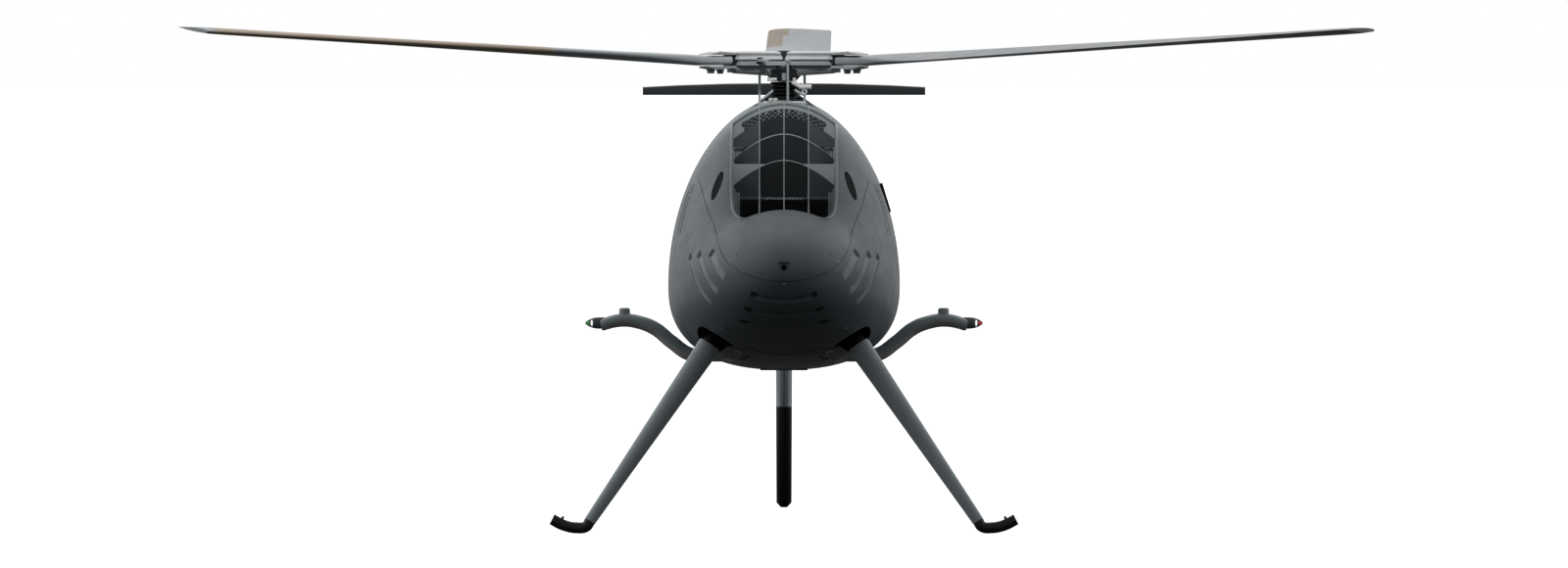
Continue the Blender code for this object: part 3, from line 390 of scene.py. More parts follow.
nose_cowl = body_solid(0.0, 208, 1.25, 0.015)
cut(nose_cowl, [past_seam(FAR, 0)], "INTERSECT")
cut(nose_cowl, [
    body_solid(SKIN, 96, 3, 0.05),
    prism([(x, MAST_Y + aft) for x, aft in intake_plan(0.0)], 0.7, FAR, "Z"),
    cylinder(at(0, 0, 0.9), at(0, 0, FAR), 0.082, 96),
    vent_bar(1, GAP),
    vent_bar(-1, GAP),
    prism(oval(0.0145, 0.011, *CAMERA_PORT), MAST_Y - 0.8, MAST_Y - 0.66, "Y"),
])
fit(nose_cowl, "nose_cowl_skin", paint, "nose_cowl", "body_paint", angle=38)

# Opening of a leg socket in the front view, as (distance from the centre line, height)
SOCKET = ((0.216, 0.496), (0.2152, 0.508), (0.2105, 0.5155), (0.203, 0.5165), (0.193, 0.512),
          (0.159, 0.4925), (0.127, 0.4705), (0.1215, 0.4645), (0.137, 0.467), (0.152, 0.457),
          (0.164, 0.448), (0.19, 0.455), (0.209, 0.477))


def socket_bar(side, front=-0.6, back=-0.2):
    return prism([(side * x, z) for x, z in SOCKET], MAST_Y + front, MAST_Y + back, "Y")


def front_depth(x, z):
    """How far aft the front skin lies behind a point of the front view."""
    low, high = NOSE_AFT, WIDEST_AFT
    for _ in range(40):
        middle = (low + high) / 2
        half, widest, rise, depth = section(middle)
        exponent = CROWN_POWER if z > widest else BELLY_POWER
        tall = rise if z > widest else depth
        inside = (abs(x) / half) ** exponent + (abs(z - widest) / tall) ** exponent < 1
        low, high = (low, middle) if inside else (middle, high)
    return high


def skin_point(x, z):
    step = 0.002
    across = (front_depth(x + step, z) - front_depth(x - step, z)) / (2 * step)
    upward = (front_depth(x, z + step) - front_depth(x, z - step)) / (2 * step)
    return at(x, front_depth(x, z), z), Vector((across, -1.0, upward)).normalized()


# Pressed louvres: half width, whether it crosses the middle of the cowl, and places down its own middle
LOUVRE_DEPTH = 0.0046
LOUVRES = (
    (0.0135, False, ((0.1815, 0.7045), (0.176, 0.6915), (0.1655, 0.669), (0.1475, 0.644))),
    (0.0115, False, ((0.2125, 0.701), (0.2075, 0.686), (0.2, 0.6626), (0.1852, 0.6328), (0.164, 0.608))),
    (0.009, False, ((0.235, 0.694), (0.2315, 0.68), (0.2245, 0.648), (0.208, 0.612), (0.18, 0.578))),
    (0.01, True, ((0.0825, 0.6025), (0.0485, 0.5909), (0, 0.586))),
    (0.01, True, ((0.0975, 0.5655), (0.0485, 0.5533), (0, 0.5496))),
    (0.0095, True, ((0.11, 0.534), (0.0533, 0.5222), (0, 0.5196))),
)


def louvre_bar(half_width, closed, places):
    """Cutter for a pressed louvre: it dives from the skin at its start, deepest along its outer edge."""
    count = 28
    xs, zs = ([(k / (len(places) - 1), place[i]) for k, place in enumerate(places)] for i in (0, 1))
    spots = [skin_point(smooth(xs, k / count), smooth(zs, k / count)) for k in range(count + 1)]
    dive = ((0, 0.04), (0.22, 1), (0.8, 0.9), (1, 0.2))
    if closed:
        dive = ((0, 0.04), (0.12, 1), (0.88, 1), (1, 0.04))
    rings = []
    for k, (point, outward) in enumerate(spots):
        along = spots[min(k + 1, count)][0] - spots[max(k - 1, 0)][0]
        across = outward.cross(along).normalized()
        if across.z < 0 if closed else across.x * point.x < 0:
            across.negate()
        depth = LOUVRE_DEPTH * smooth(dive, k / count)
        profile = ((1, 0.006), (1, 0), (0.9, -0.45 * depth), (0.6, -0.8 * depth), (0, -depth),
                   (-0.6, -0.7 * depth), (-1, 0), (-1, 0.006))
        rings.append([point + across * (half_width * side) + outward * rise for side, rise in profile])
    bar = loft(rings)
    # Finish 1 is painted light on the side louvres' floors; finish 2 is painted shade in wedges at the
    # louvres' ends.
    for _ in range(3):
        bar.data.materials.append(None)
    for face in bar.data.polygons:
        ring, row = divmod(face.index, len(rings[0]))
        share = ring / count
        taper = 0.17 - 0.022 * row if closed else 0.04 + 0.024 * row
        shaded = share < taper or (closed and share > 0.96 - taper)
        face.material_index = 2 if shaded else (0 if closed else 1)
    return bar


louvres = []
for half_width, closed, places in LOUVRES:
    mirrored = tuple((-x, z) for x, z in places)
    paths = [places + mirrored[-2::-1]] if closed else [places, mirrored]
    louvres += [louvre_bar(half_width, closed, path) for path in paths]
lower_cowl = body_solid(0.0, 208, 1.25, 0.015)
cut(lower_cowl, [past_seam(0.2, -2 * GAP)], "INTERSECT")
belly_cut = block(at(-0.06, -0.06, 0.35), at(0.06, 0.18, 0.42))
for _ in range(3):
    lower_cowl.data.materials.append(None)
cut(lower_cowl, [body_solid(0.01, 96, 3, 0.05), socket_bar(1), socket_bar(-1), belly_cut] + louvres)
# Painted light: a paler grey on the side louvres' floors. Painted shade: near-black at the louvres' ends.
lower_cowl.data.materials[1] = coat("louvre_floor_painted_light", (0.272, 0.325, 0.352), 0.4)
lower_cowl.data.materials[2] = coat("louvre_end_painted_shade", (0.055, 0.064, 0.07), 0.6, 0.1)
fit(lower_cowl, "lower_cowl_skin", paint, "lower_cowl", "body_paint", angle=38)

rear_shell = body_solid(0.0, 160, 6, 0.015)
rear_room = block(at(-0.5, HOOD_END + 2 * GAP, 0.2), at(0.5, SHELL_END, FAR))
cut(rear_shell, [rear_room], "INTERSECT")
cut(rear_shell, [body_solid(SKIN, 96, 6, 0.05)])
fit(rear_shell, "rear_shell_skin", paint, "rear_fuselage", "body_paint", angle=38)

# Cowl fasteners and joints: domed quarter-turn screws of bright steel, two blanked holes, and the dark
# rubber lips that fill the joint round the hood and the edge of the side hatch.
SCREWS = ((-0.1945, 0.8884), (-0.2351, 0.8414), (-0.2052, 0.8376), (-0.1884, 0.7756), (-0.2656, 0.7363),
          (-0.1331, 0.6793), (-0.2449, 0.6656), (-0.153, 0.5143), (-0.2845, 0.6704), (-0.1179, 1.033),
          (-0.169, 0.988), (-0.1905, 0.956))
steel = coat("bright_steel", (0.88, 0.89, 0.89), 0.32, 0.07, metallic=0.2, grain=2500, wear=0.2)
# Near-black: painted shade in holes, slits, gaps and behind openings, and the blanked holes' colour.
black = coat("black_and_painted_shade", (0.006, 0.006, 0.007), 0.7, 0.2, bump=0.00004)
# Dark rubber for the joints; on the camera's hood it is painted shadow, and down the fin's front edge painted
# reflection.
joint_rubber_and_shade = coat("joint_rubber_and_shade", (0.045, 0.052, 0.057), 0.65, 0.1, bump=0.00004)


def turned(place, profile, count):
    """Rings of a turned shape from (radius, height) pairs, in the frame of place."""
    return [[place @ Vector((r * cos(a), r * sin(a), h)) for a in around(count)] for r, h in profile]


def dome(x, z, radius, height, name, look):
    """Shallow round head, sunk a little in the skin behind a point of the front view, with a shaft."""
    place = standing(*skin_point(x, z)) @ Matrix.Translation((0, 0, -0.0004))
    profile = [(radius, -0.003)] + [(radius * cos(a), height * sin(a)) for a in np.radians(range(0, 90, 15))]
    fit(loft(turned(place, profile, 16), last_tip=place @ Vector((0, 0, height))), name, look, angle=60)


SIDES = ((1, "port"), (-1, "starboard"))
for number, (x, z) in enumerate(SCREWS):
    for side, word in SIDES:
        dome(-side * x, z, 0.0026, 0.002, f"screw_{word}_{number}", steel)
for number, z in enumerate((0.6275, 0.4725)):
    dome(0, z, 0.002, 0.0015, f"screw_middle_{number}", steel)
for side, word in SIDES:
    dome(side * 0.1149, 0.6987, 0.0028, 0.001, f"blanked_hole_{word}", black)


def bar_mesh(paths, radius=0.0, sides=2, closed=False, steps=0):
    """Thin round bars along paths, straight between points, or on smooth curves of so many steps a point."""
    curve = bpy.data.curves.new("bars", "CURVE")
    curve.dimensions = "3D"
    curve.bevel_depth = radius
    curve.bevel_resolution = sides
    curve.use_fill_caps = True
    curve.resolution_u = steps or 1
    for path in paths:
        spline = curve.splines.new("BEZIER" if steps else "POLY")
        spline.use_cyclic_u = closed
        knots = spline.bezier_points if steps else spline.points
        knots.add(len(path) - 1)
        for knot, point in zip(knots, path):
            knot.co = point if steps else (*point, 1)
            if steps:
                knot.handle_left_type = knot.handle_right_type = "AUTO"
    guide = put("bars", curve)
    bpy.context.view_layer.update()
    builder = bmesh.new()
    builder.from_mesh(guide.to_mesh())
    if steps:
        bmesh.ops.remove_doubles(builder, verts=builder.verts, dist=0.00001)
    bpy.data.objects.remove(guide)
    return builder


seam = []
for k in range(-26, 27):
    x = 0.2112 * sin(radians(90 * k / 26))
    low, high = 0.6, 0.93
    for _ in range(30):
        middle = (low + high) / 2
        aft = front_depth(abs(x), middle)
        low, high = (middle, high) if middle < seam_height(aft) - GAP else (low, middle)
    seam.append(skin_point(x, low)[0])
fit(solid(bar_mesh([seam], 0.0008, steps=3)), "hood_joint", joint_rubber_and_shade)
HATCH = ((0.2317, 0.868), (0.2402, 0.8436), (0.2524, 0.8069), (0.262, 0.7628), (0.266, 0.741))
for side, word in SIDES:
    for number, shift in enumerate((0.0, -0.0062)):
        line = [skin_point(side * (x + shift), z)[0] for x, z in HATCH]
        fit(solid(bar_mesh([line], 0.0007, steps=6)), f"hatch_edge_{word}_{number}", joint_rubber_and_shade)

# Air intake: a moulded grey duct with three arched vanes, a finned radiator at the bottom, side coolers,
# an expanded-metal screen at the top, a rolled lip round the opening and three guard wires across it.
DUCT_FLOOR, RADIATOR_TOP, RADIATOR_HALF = 0.74, 0.836, 0.109
# Vanes: aft, top at the sides and in the middle, lower edge and its half width
VANES = (("upper", -0.13, 0.981, 1.037, 0.961, 0.124), ("middle", -0.2, 0.929, 0.993, 0.917, 0.121),
         ("lower", -0.29, 0.865, 0.928, 0.836, 0.111))
inner_grey = coat("duct_grey", (0.48, 0.53, 0.56), 0.5, 0.06)
vane_grey = coat("vane_grey", (0.115, 0.137, 0.151), 0.48, 0.06, wear=0.2)
# Painted shade: a darker copy of the vane grey for the middle panels, which face ahead.
vane_shade = coat("vane_centre_painted_shade", (0.032, 0.04, 0.046), 0.48, 0.06, wear=0.2)
edge_grey = coat("worn_edge_grey", (0.42, 0.455, 0.475), 0.38, grain=1500)
# Near-white: bright metal on the screen clips and plate studs, and painted highlight on fin tips, cooler and
# vane edges and the belly.
bright_and_highlight = coat("bright_metal_and_painted_highlight", (0.86, 0.87, 0.87), 0.35, 0.04, grain=1500)


def bars(paths, radius, name, look, sides=2, closed=False, body="airframe", **more):
    """Thin round bars along straight-sided paths, all in one piece."""
    fit(solid(bar_mesh(paths, radius, sides, closed)), name, look, body=body, angle=50, **more)


def joined(parts):
    """One mesh object from several."""
    builder = bmesh.new()
    for part in parts:
        part.data.transform(part.matrix_world)
        builder.from_mesh(part.data)
        bpy.data.objects.remove(part)
    return solid(builder)


def smoothed(node):
    """Mesh builder with a CAD node's shape, its flat facets joined."""
    builder = bmesh.new()
    builder.from_mesh(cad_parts[node].data)
    bmesh.ops.remove_doubles(builder, verts=builder.verts, dist=0.00002)
    bmesh.ops.dissolve_limit(builder, angle_limit=radians(0.5), verts=builder.verts, edges=builder.edges)
    return builder


def cover(node, look, slot, body="airframe", bevel=0.0005, angle=35):
    """Smooth copy of a CAD node in its place, with edges broken as on the real piece."""
    fit(solid(smoothed(node)), node + "_cover", look, node, slot, body, angle, bevel)


def paint_faces(obj, looks, choose):
    """Gives a piece several finishes: choose names each face's by its number."""
    for look in looks:
        obj.data.materials.append(look)
    for face in obj.data.polygons:
        face.material_index = int(choose(face))


cover("intake_duct", inner_grey, "dark_plastic")
for word, aft, side_z, middle_z, low_z, low_half in VANES:
    half, fold = 0.1267, 0.061
    rings = []
    edge = []
    for k in range(-24, 25):
        x = half * k / 24
        back = aft + 0.004 + (0.22 if word == "upper" else 0.45) * max(0.0, abs(x) - fold)
        top = middle_z - (middle_z - side_z) * (abs(x) / half) ** 1.8
        low_x = x * low_half / half
        rings.append([at(x, back - 0.004, top), at(x, back, top), at(low_x, back, low_z),
                      at(low_x, back - 0.004, low_z)])
        edge.append(at(x * 0.99, back - 0.002, top))
    vane = loft(rings)
    paint_faces(vane, (vane_grey, vane_shade), lambda face: abs(face.center.x) < fold)
    fit(vane, f"vane_{word}_plate", vane_grey, f"guide_vane_{word}", "dark_plastic",
        angle=25, bevel=0.0004)
    # The rolled edge is real; its near-white colour is painted highlight along the vane's top.
    if word != "upper":
        bars([edge], 0.0016, f"vane_{word}_rolled_edge", bright_and_highlight, 3)

for side, word in SIDES:
    ramp = []
    for k in range(9):
        t = k / 8
        aft = -0.25 + 0.048 * t
        z = 0.855 + 0.064 * t ** 1.6
        ramp.append([at(side * x, aft + shift, z)
                     for x, shift in ((0.05, 0), (0.05, 0.003), (0.126, 0.003), (0.126, 0))])
    fit(loft(ramp), f"duct_ramp_{word}", inner_grey, angle=25)
    posts = [block(at(side * x - 0.00175, -0.436, 0.742), at(side * x + 0.00175, -0.424, 0.85))
             for x in (0.11225, 0.11825, 0.12325)]
    fit(joined(posts), f"radiator_frame_{word}", inner_grey, bevel=0.0006)
    cooler_places = [side * x for x in (0.1035, 0.1095, 0.1155, 0.1215)]
    fins = [block(at(x - 0.0011, -0.188, 0.926), at(x + 0.0011, -0.15, 0.958)) for x in cooler_places]
    fit(joined(fins), f"side_cooler_{word}", vane_grey)
    # Painted highlight: near-white bars along the cooler fins' top edges.
    bars([[at(x, -0.189, 0.9592), at(x, -0.152, 0.9592)] for x in cooler_places], 0.0014,
         f"side_cooler_edge_highlights_{word}", bright_and_highlight)

radiator_black = coat("radiator_black", (0.016, 0.019, 0.021), 0.5, 0.15, metallic=0.2)
cover("radiator", radiator_black, "dark_metal", bevel=0.0003)
fin_places = [RADIATOR_HALF * (2 * k + 1) / 23 - RADIATOR_HALF for k in range(23)]
bars([[at(x, -0.4412, DUCT_FLOOR + 0.004), at(x, -0.4412, RADIATOR_TOP - 0.002)] for x in fin_places], 0.0006,
     "radiator_fin_edges", radiator_black, 1)
# Painted highlight: near-white bars along the radiator fins' tops, where light from above falls.
bars([[at(x, -0.4408, RADIATOR_TOP + 0.0011), at(x, -0.429, RADIATOR_TOP + 0.0011)] for x in fin_places],
     0.0014, "radiator_fin_tip_highlights", bright_and_highlight)


def arch(x, drop):
    return 1.06 - drop - 0.04 * (abs(x) / 0.112) ** 1.9


xs = [0.1255 * k / 32 for k in range(-32, 33)]
panel = [(x, crown(-0.103, x) - 0.006) for x in xs] + [(x, 0.976) for x in (0.1255, -0.1255)]
# Painted shade: a black sheet behind the screen, for the dark opening behind the mesh.
fit(prism(panel, MAST_Y - 0.1009, MAST_Y - 0.1003, "Y"), "screen_backing_painted_shade", black, "intake_grille",
    "dark_plastic")
end = [(0.098 + 0.008 * sin(a), arch(0.098, 0.012) + 0.008 * cos(a)) for a in np.linspace(0.3, 2.8, 8)]
across = np.linspace(-0.098, 0.098, 33)
window = [(x, arch(x, 0.004)) for x in across] + end + [(x, arch(x, 0.034)) for x in reversed(across)]
window += [(-x, z) for x, z in reversed(end)]
front = prism(panel, MAST_Y - 0.1045, MAST_Y - 0.1011, "Y")
cut(front, [prism(window, MAST_Y - 0.12, MAST_Y - 0.09, "Y")])
fit(front, "screen_panel", inner_grey, bevel=0.0006)
mesh_paths = []
for lean in (1, -1):
    for k in range(-11, 12):
        xs = [lean * (0.0145 * k - 0.025 + 0.05 * step / 12) for step in range(13)]
        strand = [at(x, -0.1026, arch(x, 0.034 * step / 12)) for step, x in enumerate(xs) if abs(x) < 0.105]
        if len(strand) > 2:
            mesh_paths.append(strand)
bars(mesh_paths, 0.0008, "screen_mesh", coat("mesh_grey", (0.36, 0.4, 0.42), 0.45, 0.07, gloss=0.5), 1)
CLIPS = ((-0.05, 1.05, 0.004), (-0.038, 1.0505, -0.007), (-0.0105, 1.0545, -0.003), (0.0105, 1.0545, 0.003),
         (0.038, 1.051, -0.003), (0.048, 1.05, -0.005))
bars([[at(x, -0.1015, z), at(x + lean, -0.1015, z - 0.008)] for x, z, lean in CLIPS], 0.0011, "screen_clips",
     bright_and_highlight, 1)

# Painted highlight: the lip takes a paler copy of the body's paint along its roll.
lip_paint_lit = coat("lip_paint_lit", (0.34, 0.385, 0.405), 0.4, wear=0.3)
right = [(x, aft) for x, aft in intake_plan(0.0034) if x > 0 and (aft > -0.478 or x > 0.102)]
dense = []
for (x1, aft1), (x2, aft2) in zip(right, right[1:]):
    parts = max(1, int(hypot(x2 - x1, aft2 - aft1) / 0.012))
    dense += [(x1 + (x2 - x1) * k / parts, aft1 + (aft2 - aft1) * k / parts) for k in range(parts)]
dense.append(right[-1])
rear = [(x, right[0][1]) for x in np.linspace(0.12, -0.12, 41)]
round_trip = dense[::-1] + rear + [(-x, aft) for x, aft in dense]
lip_path = [at(x, aft, crown(aft, x) - 0.0012) for x, aft in round_trip]
bars([lip_path], 0.0038, "intake_lip", lip_paint_lit, 5)
for x, word in ((0.061, "port"), (0.0, "centre"), (-0.061, "starboard")):
    wire = [at(x, aft, crown(aft, x) + 0.0034) for aft in np.linspace(-0.512, -0.092, 40)]
    bars([wire], 0.0014, f"wire_{word}", edge_grey, 3, hides=f"guard_wire_{word}", slot="hub_metal")

# Camera and side vents: a small forward camera looks out of a hooded oval port above the seam, and an oval
# vent on each side carries thin slats along its length. The black round the camera's hole and behind the
# slats is painted shade, and the hood's dark colour is painted shadow.
PORT_Z = CAMERA_PORT[1]
HOLE_Z = PORT_Z - 0.003
# Dish rings: half width, half height, aft of the mast, height
DISH = ((0.0143, 0.0108, -0.7075, PORT_Z), (0.0143, 0.0108, -0.7336, PORT_Z),
        (0.011, 0.0088, -0.7334, PORT_Z), (0.007, 0.007, -0.733, HOLE_Z), (0.0068, 0.0068, -0.731, HOLE_Z),
        (0.0066, 0.0066, -0.7085, HOLE_Z))
dish = loft([[at(half_x * cos(a), aft, z + half_z * sin(a)) for a in around(40)]
             for half_x, half_z, aft, z in DISH])
# Painted shade: the faces round the hole are black.
paint_faces(dish, (paint, black), lambda face: hypot(face.center.x, face.center.z - HOLE_Z) < 0.0071)
fit(dish, "camera_dish", paint, "nose_camera", "dark_plastic")
brow = [(way * 0.0158 * cos(a), PORT_Z + 0.0098 + way * rise * sin(a))
        for way, rise in ((1, 0.0022), (-1, 0.0024)) for a in np.linspace(0.1, 3.04, 13)]
# The hood over the port is real; its dark colour is painted shadow.
fit(prism(brow, MAST_Y - 0.7353, MAST_Y - 0.7325, "Y"), "camera_brow_painted_shadow", joint_rubber_and_shade, bevel=0.0004)
lens = cylinder(at(0, -0.719, HOLE_Z), at(0, -0.7088, HOLE_Z), 0.0062)
fit(lens, "camera_lens", coat("lens_glass", (0.003, 0.003, 0.004), 0.12, 0.07, gloss=0.25), bevel=0.002)

slat_grey = coat("slat_grey", (0.1, 0.115, 0.125), 0.45, 0.08)
for side, word in SIDES:
    plug = body_solid(0.0035, 96, 3, 0.05)
    cut(plug, [body_solid(0.0055, 96, 3, 0.05)])
    cut(plug, [vent_bar(side, -0.0002)], "INTERSECT")
    # Painted shade: a black sheet behind the vent slats.
    fit(plug, f"vent_back_painted_shade_{word}", black, f"side_vent_{word}", "dark_plastic")
    slats = []
    for offset in (-0.0075, -0.0045, -0.0015, 0.0015, 0.0045, 0.0075):
        reach = 0.92 * sqrt(1 - (offset / 0.0105) ** 2)
        slat = []
        for t in np.linspace(-reach, reach, 9):
            x, z = 0.1662 - 0.0143 * t + 0.94 * offset, 0.8655 + 0.0338 * t + 0.35 * offset
            point, outward = skin_point(side * x, z)
            slat.append(point - outward * 0.0022)
        slats.append(slat)
    bars(slats, 0.0008, f"vent_slats_{word}", slat_grey, 1)

# Landing legs: tapered composite tubes plug into sockets in the belly and end in bent feet covered with
# rubber.
# Each tube's paint is a paler copy of the body's, painted light; the black neck round its top and the black
# back of its socket are painted shade.
leg_paint_lit = coat("leg_paint_lit", (0.53, 0.61, 0.65), 0.44, wear=0.2)
foot_rubber = coat("foot_rubber", (0.034, 0.035, 0.036), 0.45, 0.25, bump=0.0001, gloss=0.5)
for side, word in SIDES:
    top, foot = at(side * 0.1839, -0.3, 0.47), at(side * 0.483, -0.35, 0.031)
    run = (foot - top).normalized()
    long = (foot - top).length
    profile = ((0.024, 0.0), (0.0278, 0.0006), (0.029, 0.004), (0.0238, 0.35 * long), (0.0188, 0.7 * long),
               (0.0147, long))
    fit(loft(turned(standing(top, run), profile, 64)), f"leg_tube_{word}", leg_paint_lit,
        f"landing_leg_{word}", "body_paint", angle=40)
    # Painted shade: a black neck round the tube's top, and a black back in the socket.
    fit(cylinder(top - run * 0.044, top + run * 0.002, 0.0225, 48), f"leg_neck_painted_shade_{word}", black)
    cover(f"skid_foot_{word}", foot_rubber, "black_rubber", angle=60)
    fit(socket_bar(side, -0.27, -0.262), f"leg_socket_back_painted_shade_{word}", black)

# Light arms: swept composite arms, round on top with a flat underside, carry the antenna caps and the lamps.
# The lamps are dark bullets with a coloured window and a clear one in their forward side.
ARM_AFT, ARM_END, LAMP_Z, ARM_DEPTH = -0.05, 0.459, 0.519, 1.6
# Middle line of an arm: distance out, height, radius
ARM_PATH = ((0.15, 0.4391, 0.0178), (0.19, 0.4392, 0.0178), (0.2334, 0.4398, 0.0178),
            (0.2826, 0.4717, 0.0178), (0.3219, 0.5036, 0.0178), (0.3587, 0.5196, 0.0175),
            (0.408, 0.5258, 0.017), (0.47, 0.51, 0.0146))
arm_paint_lit = coat("arm_paint_lit", (0.4, 0.465, 0.5), 0.4, wear=0.2, gloss=0.45)
underside = coat("arm_underside_painted_light", (0.8, 0.775, 0.76), 0.6)
lamp_dark = coat("lamp_housing", (0.19, 0.215, 0.232), 0.35, 0.1, wear=0.3)


def glowing(name, colour, glow, strength, vary=0.05):
    look = coat(name, colour, 0.15, vary, gloss=0.6)
    set_look(look, {"Emission Color": (*glow, 1), "Emission Strength": strength})
    return look


clear_glass = glowing("clear_window", (0.9, 0.9, 0.88), (1, 1, 0.97), 0.8, 0.02)
windows = {"port": glowing("red_window", (0.6, 0.03, 0.02), (0.5, 0.02, 0.01), 0.9),
           "starboard": glowing("green_window", (0.04, 0.42, 0.05), (0.03, 0.22, 0.03), 0.9)}
# Outline of an arm's section in its own radius, as (aft, up)
ARM_SECTION = [(-1.0, -0.1)] + [(-cos(a), sin(a)) for a in np.linspace(0.15, 2.99, 19)]
ARM_SECTION += [(0.99, -0.3), (0.85, -0.68), (0.55, -0.93), (0.2, -1.0), (-0.35, -0.86), (-0.93, -0.36),
                (-0.99, -0.26)]
line = bar_mesh([[(x, 0, z) for x, z, _ in ARM_PATH]], steps=10)
spine = [(vert.co.copy(), smooth([(x, radius) for x, _, radius in ARM_PATH], vert.co.x))
         for vert in line.verts if vert.co.x <= ARM_END]
line.free()
spine.append((Vector((ARM_END, 0, spine[-1][0].z - 0.0004)), spine[-1][1]))
last = len(spine) - 1
for side, word in SIDES:
    rings = []
    for k, (point, radius) in enumerate(spine):
        along = (spine[min(k + 1, last)][0] - spine[max(k - 1, 0)][0]).normalized()
        size = radius * (0.9 if k == last else 1.0)
        rings.append([at(side * (point.x - along.z * up * size), ARM_AFT + aft * size * ARM_DEPTH,
                         point.z + along.x * up * size) for aft, up in ARM_SECTION])
    arm = loft(rings)
    # Painted light: the arm's paint is a paler copy of the body's, and its downward faces take a near-white
    # copy for light from below.
    paint_faces(arm, (arm_paint_lit, underside),
                lambda face: face.normal.z < (-0.45 if face.normal.y < 0.1 else -0.8))
    fit(arm, f"arm_{word}", arm_paint_lit, f"light_arm_{word}", "body_paint", angle=28)
    # The cap takes the legs' paler paint: painted light.
    cap = cylinder(at(side * 0.4, ARM_AFT, 0.528), at(side * 0.4, ARM_AFT, 0.557), 0.014, 40)
    fit(cap, f"antenna_cap_{word}", leg_paint_lit, bevel=0.0045)

    profile = ((-0.015, 0.0132), (-0.014, 0.0146), (0, 0.015), (0.01, 0.0146), (0.018, 0.0134),
               (0.026, 0.0108), (0.033, 0.0072), (0.038, 0.0035))
    rings = [[at(side * (ARM_END + GAP + reach), ARM_AFT + radius * cos(a), LAMP_Z + radius * sin(a))
              for a in around(40)] for reach, radius in profile]
    lamp = loft(rings, last_tip=at(side * (ARM_END + 0.04), ARM_AFT, LAMP_Z))
    fit(lamp, f"lamp_housing_{word}", lamp_dark, f"nav_light_{word}",
        "red_lens" if side > 0 else "green_lens", angle=40)
    for part, reach, forward, size, look in (
            ("clear", 0.0225, 0.0066, (0.0042, 0.0072, 0.0084), clear_glass),
            ("coloured", 0.0312, 0.0036, (0.0044, 0.006, 0.005), windows[word])):
        builder = bmesh.new()
        place = Matrix.Translation(at(side * (ARM_END + reach), ARM_AFT - forward, LAMP_Z))
        bmesh.ops.create_uvsphere(builder, u_segments=32, v_segments=16, radius=1.0,
                                  matrix=place @ Matrix.Diagonal((*size, 1)))
        fit(solid(builder), f"lamp_window_{part}_{word}", look)

# Tail: a tapered boom carries the fin, which stands on the ground on a black rubber bumper, and the fin's top
# carries a one-piece tailplane. The skins are bonded in halves; a thin dark line down the front edge is
# painted reflection of the dark surroundings ahead.
BOOM_Z = 0.7265
fin_paint = coat("fin_paint", (0.36, 0.415, 0.445), 0.42, wear=0.2)
plane_paint = coat("tailplane_paint", (0.168, 0.196, 0.213), 0.44, wear=0.25)
cover("tail_boom", paint, "body_paint", angle=60)
for name in ("fin_upper", "fin_lower"):
    cover(name, fin_paint, "body_paint", angle=50)
bumper_rubber = coat("bumper_rubber", (0.005, 0.005, 0.005), 0.6, 0.25, bump=0.0001, gloss=0.2)
cover("fin_bumper", bumper_rubber, "black_rubber", angle=50)
cover("tailplane", plane_paint, "body_paint", angle=28)


def fin_edge(z):
    """Front edge of the fin, aft of the mast: it leans away from the boom."""
    return 1.72 + (0.055 * (BOOM_Z - z) / BOOM_Z if z < BOOM_Z else 0.015 * (z - BOOM_Z) / 0.3579)


# Painted reflection: thin dark bars down the fin's front edges.
for name, heights in (("fin_edge_painted_reflection", (0.268, 0.5, 0.68)), ("fin_upper_edge_painted_reflection", (0.8, 0.95, 1.08))):
    bars([[at(0, fin_edge(z) - 0.0002, z) for z in heights]], 0.0011, name, joint_rubber_and_shade)

# Main blades: moulded composite with a rectangular root, a symmetric aerofoil that twists nose-down outboard,
# and a tan erosion tape wrapped round the leading edge from mid span to the tip, wider on its outer half.
HUB_Z, LEADING = 1.1775, 0.0495
CONING, CONING_START = radians(3.075), 0.246
# Each blade's direction and cyclic pitch in degrees
BLADES = {"starboard": (209.7, -1.75), "port": (329.7, 1.75), "aft": (89.7, 1.75)}
# Stations: distance out, chord, thickness, leading edge ahead of the pitch axis, share of aerofoil
BLADE_SHAPE = (
    (0.1643, 0.056, 0.0235, 0.028, 0),
    (0.23, 0.056, 0.0235, 0.028, 0),
    (0.25, 0.061, 0.026, 0.03, 0.1),
    (0.31, 0.09, 0.0255, 0.036, 0.5),
    (0.4, 0.14, 0.0235, 0.046, 1),
    (0.48, 0.165, 0.0215, LEADING, 1),
    (0.83, 0.165, 0.02, LEADING, 1),
    (1.11, 0.165, 0.0172, LEADING, 1),
    (1.58, 0.165, 0.0158, LEADING, 1),
    (1.63, 0.163, 0.0145, 0.0485, 1),
    (1.655, 0.157, 0.0105, 0.0455, 1),
)
BLADE_COLUMNS = list(zip(*BLADE_SHAPE))
TAPE_START, TAPE_STEP, TAPE_END = 0.686, 1.265, 1.63
TAPE_WIDTHS = (0.041, 0.054)
blade_grey = coat("blade_grey", (0.36, 0.395, 0.42), 0.42, 0.03, grain=1400, gloss=0.28)
# Painted light: paler copies of the blade grey and the tape, for the starboard blade only.
blade_grey_lit = coat("blade_grey_painted_light", (0.575, 0.627, 0.66), 0.42, 0.03, grain=1400, gloss=0.28)
tape_tan = coat("erosion_tape", (0.44, 0.365, 0.285), 0.55, grain=1800, gloss=0.12)
tape_tan_lit = coat("erosion_tape_painted_light", (0.78, 0.65, 0.505), 0.55, grain=1800, gloss=0.12)


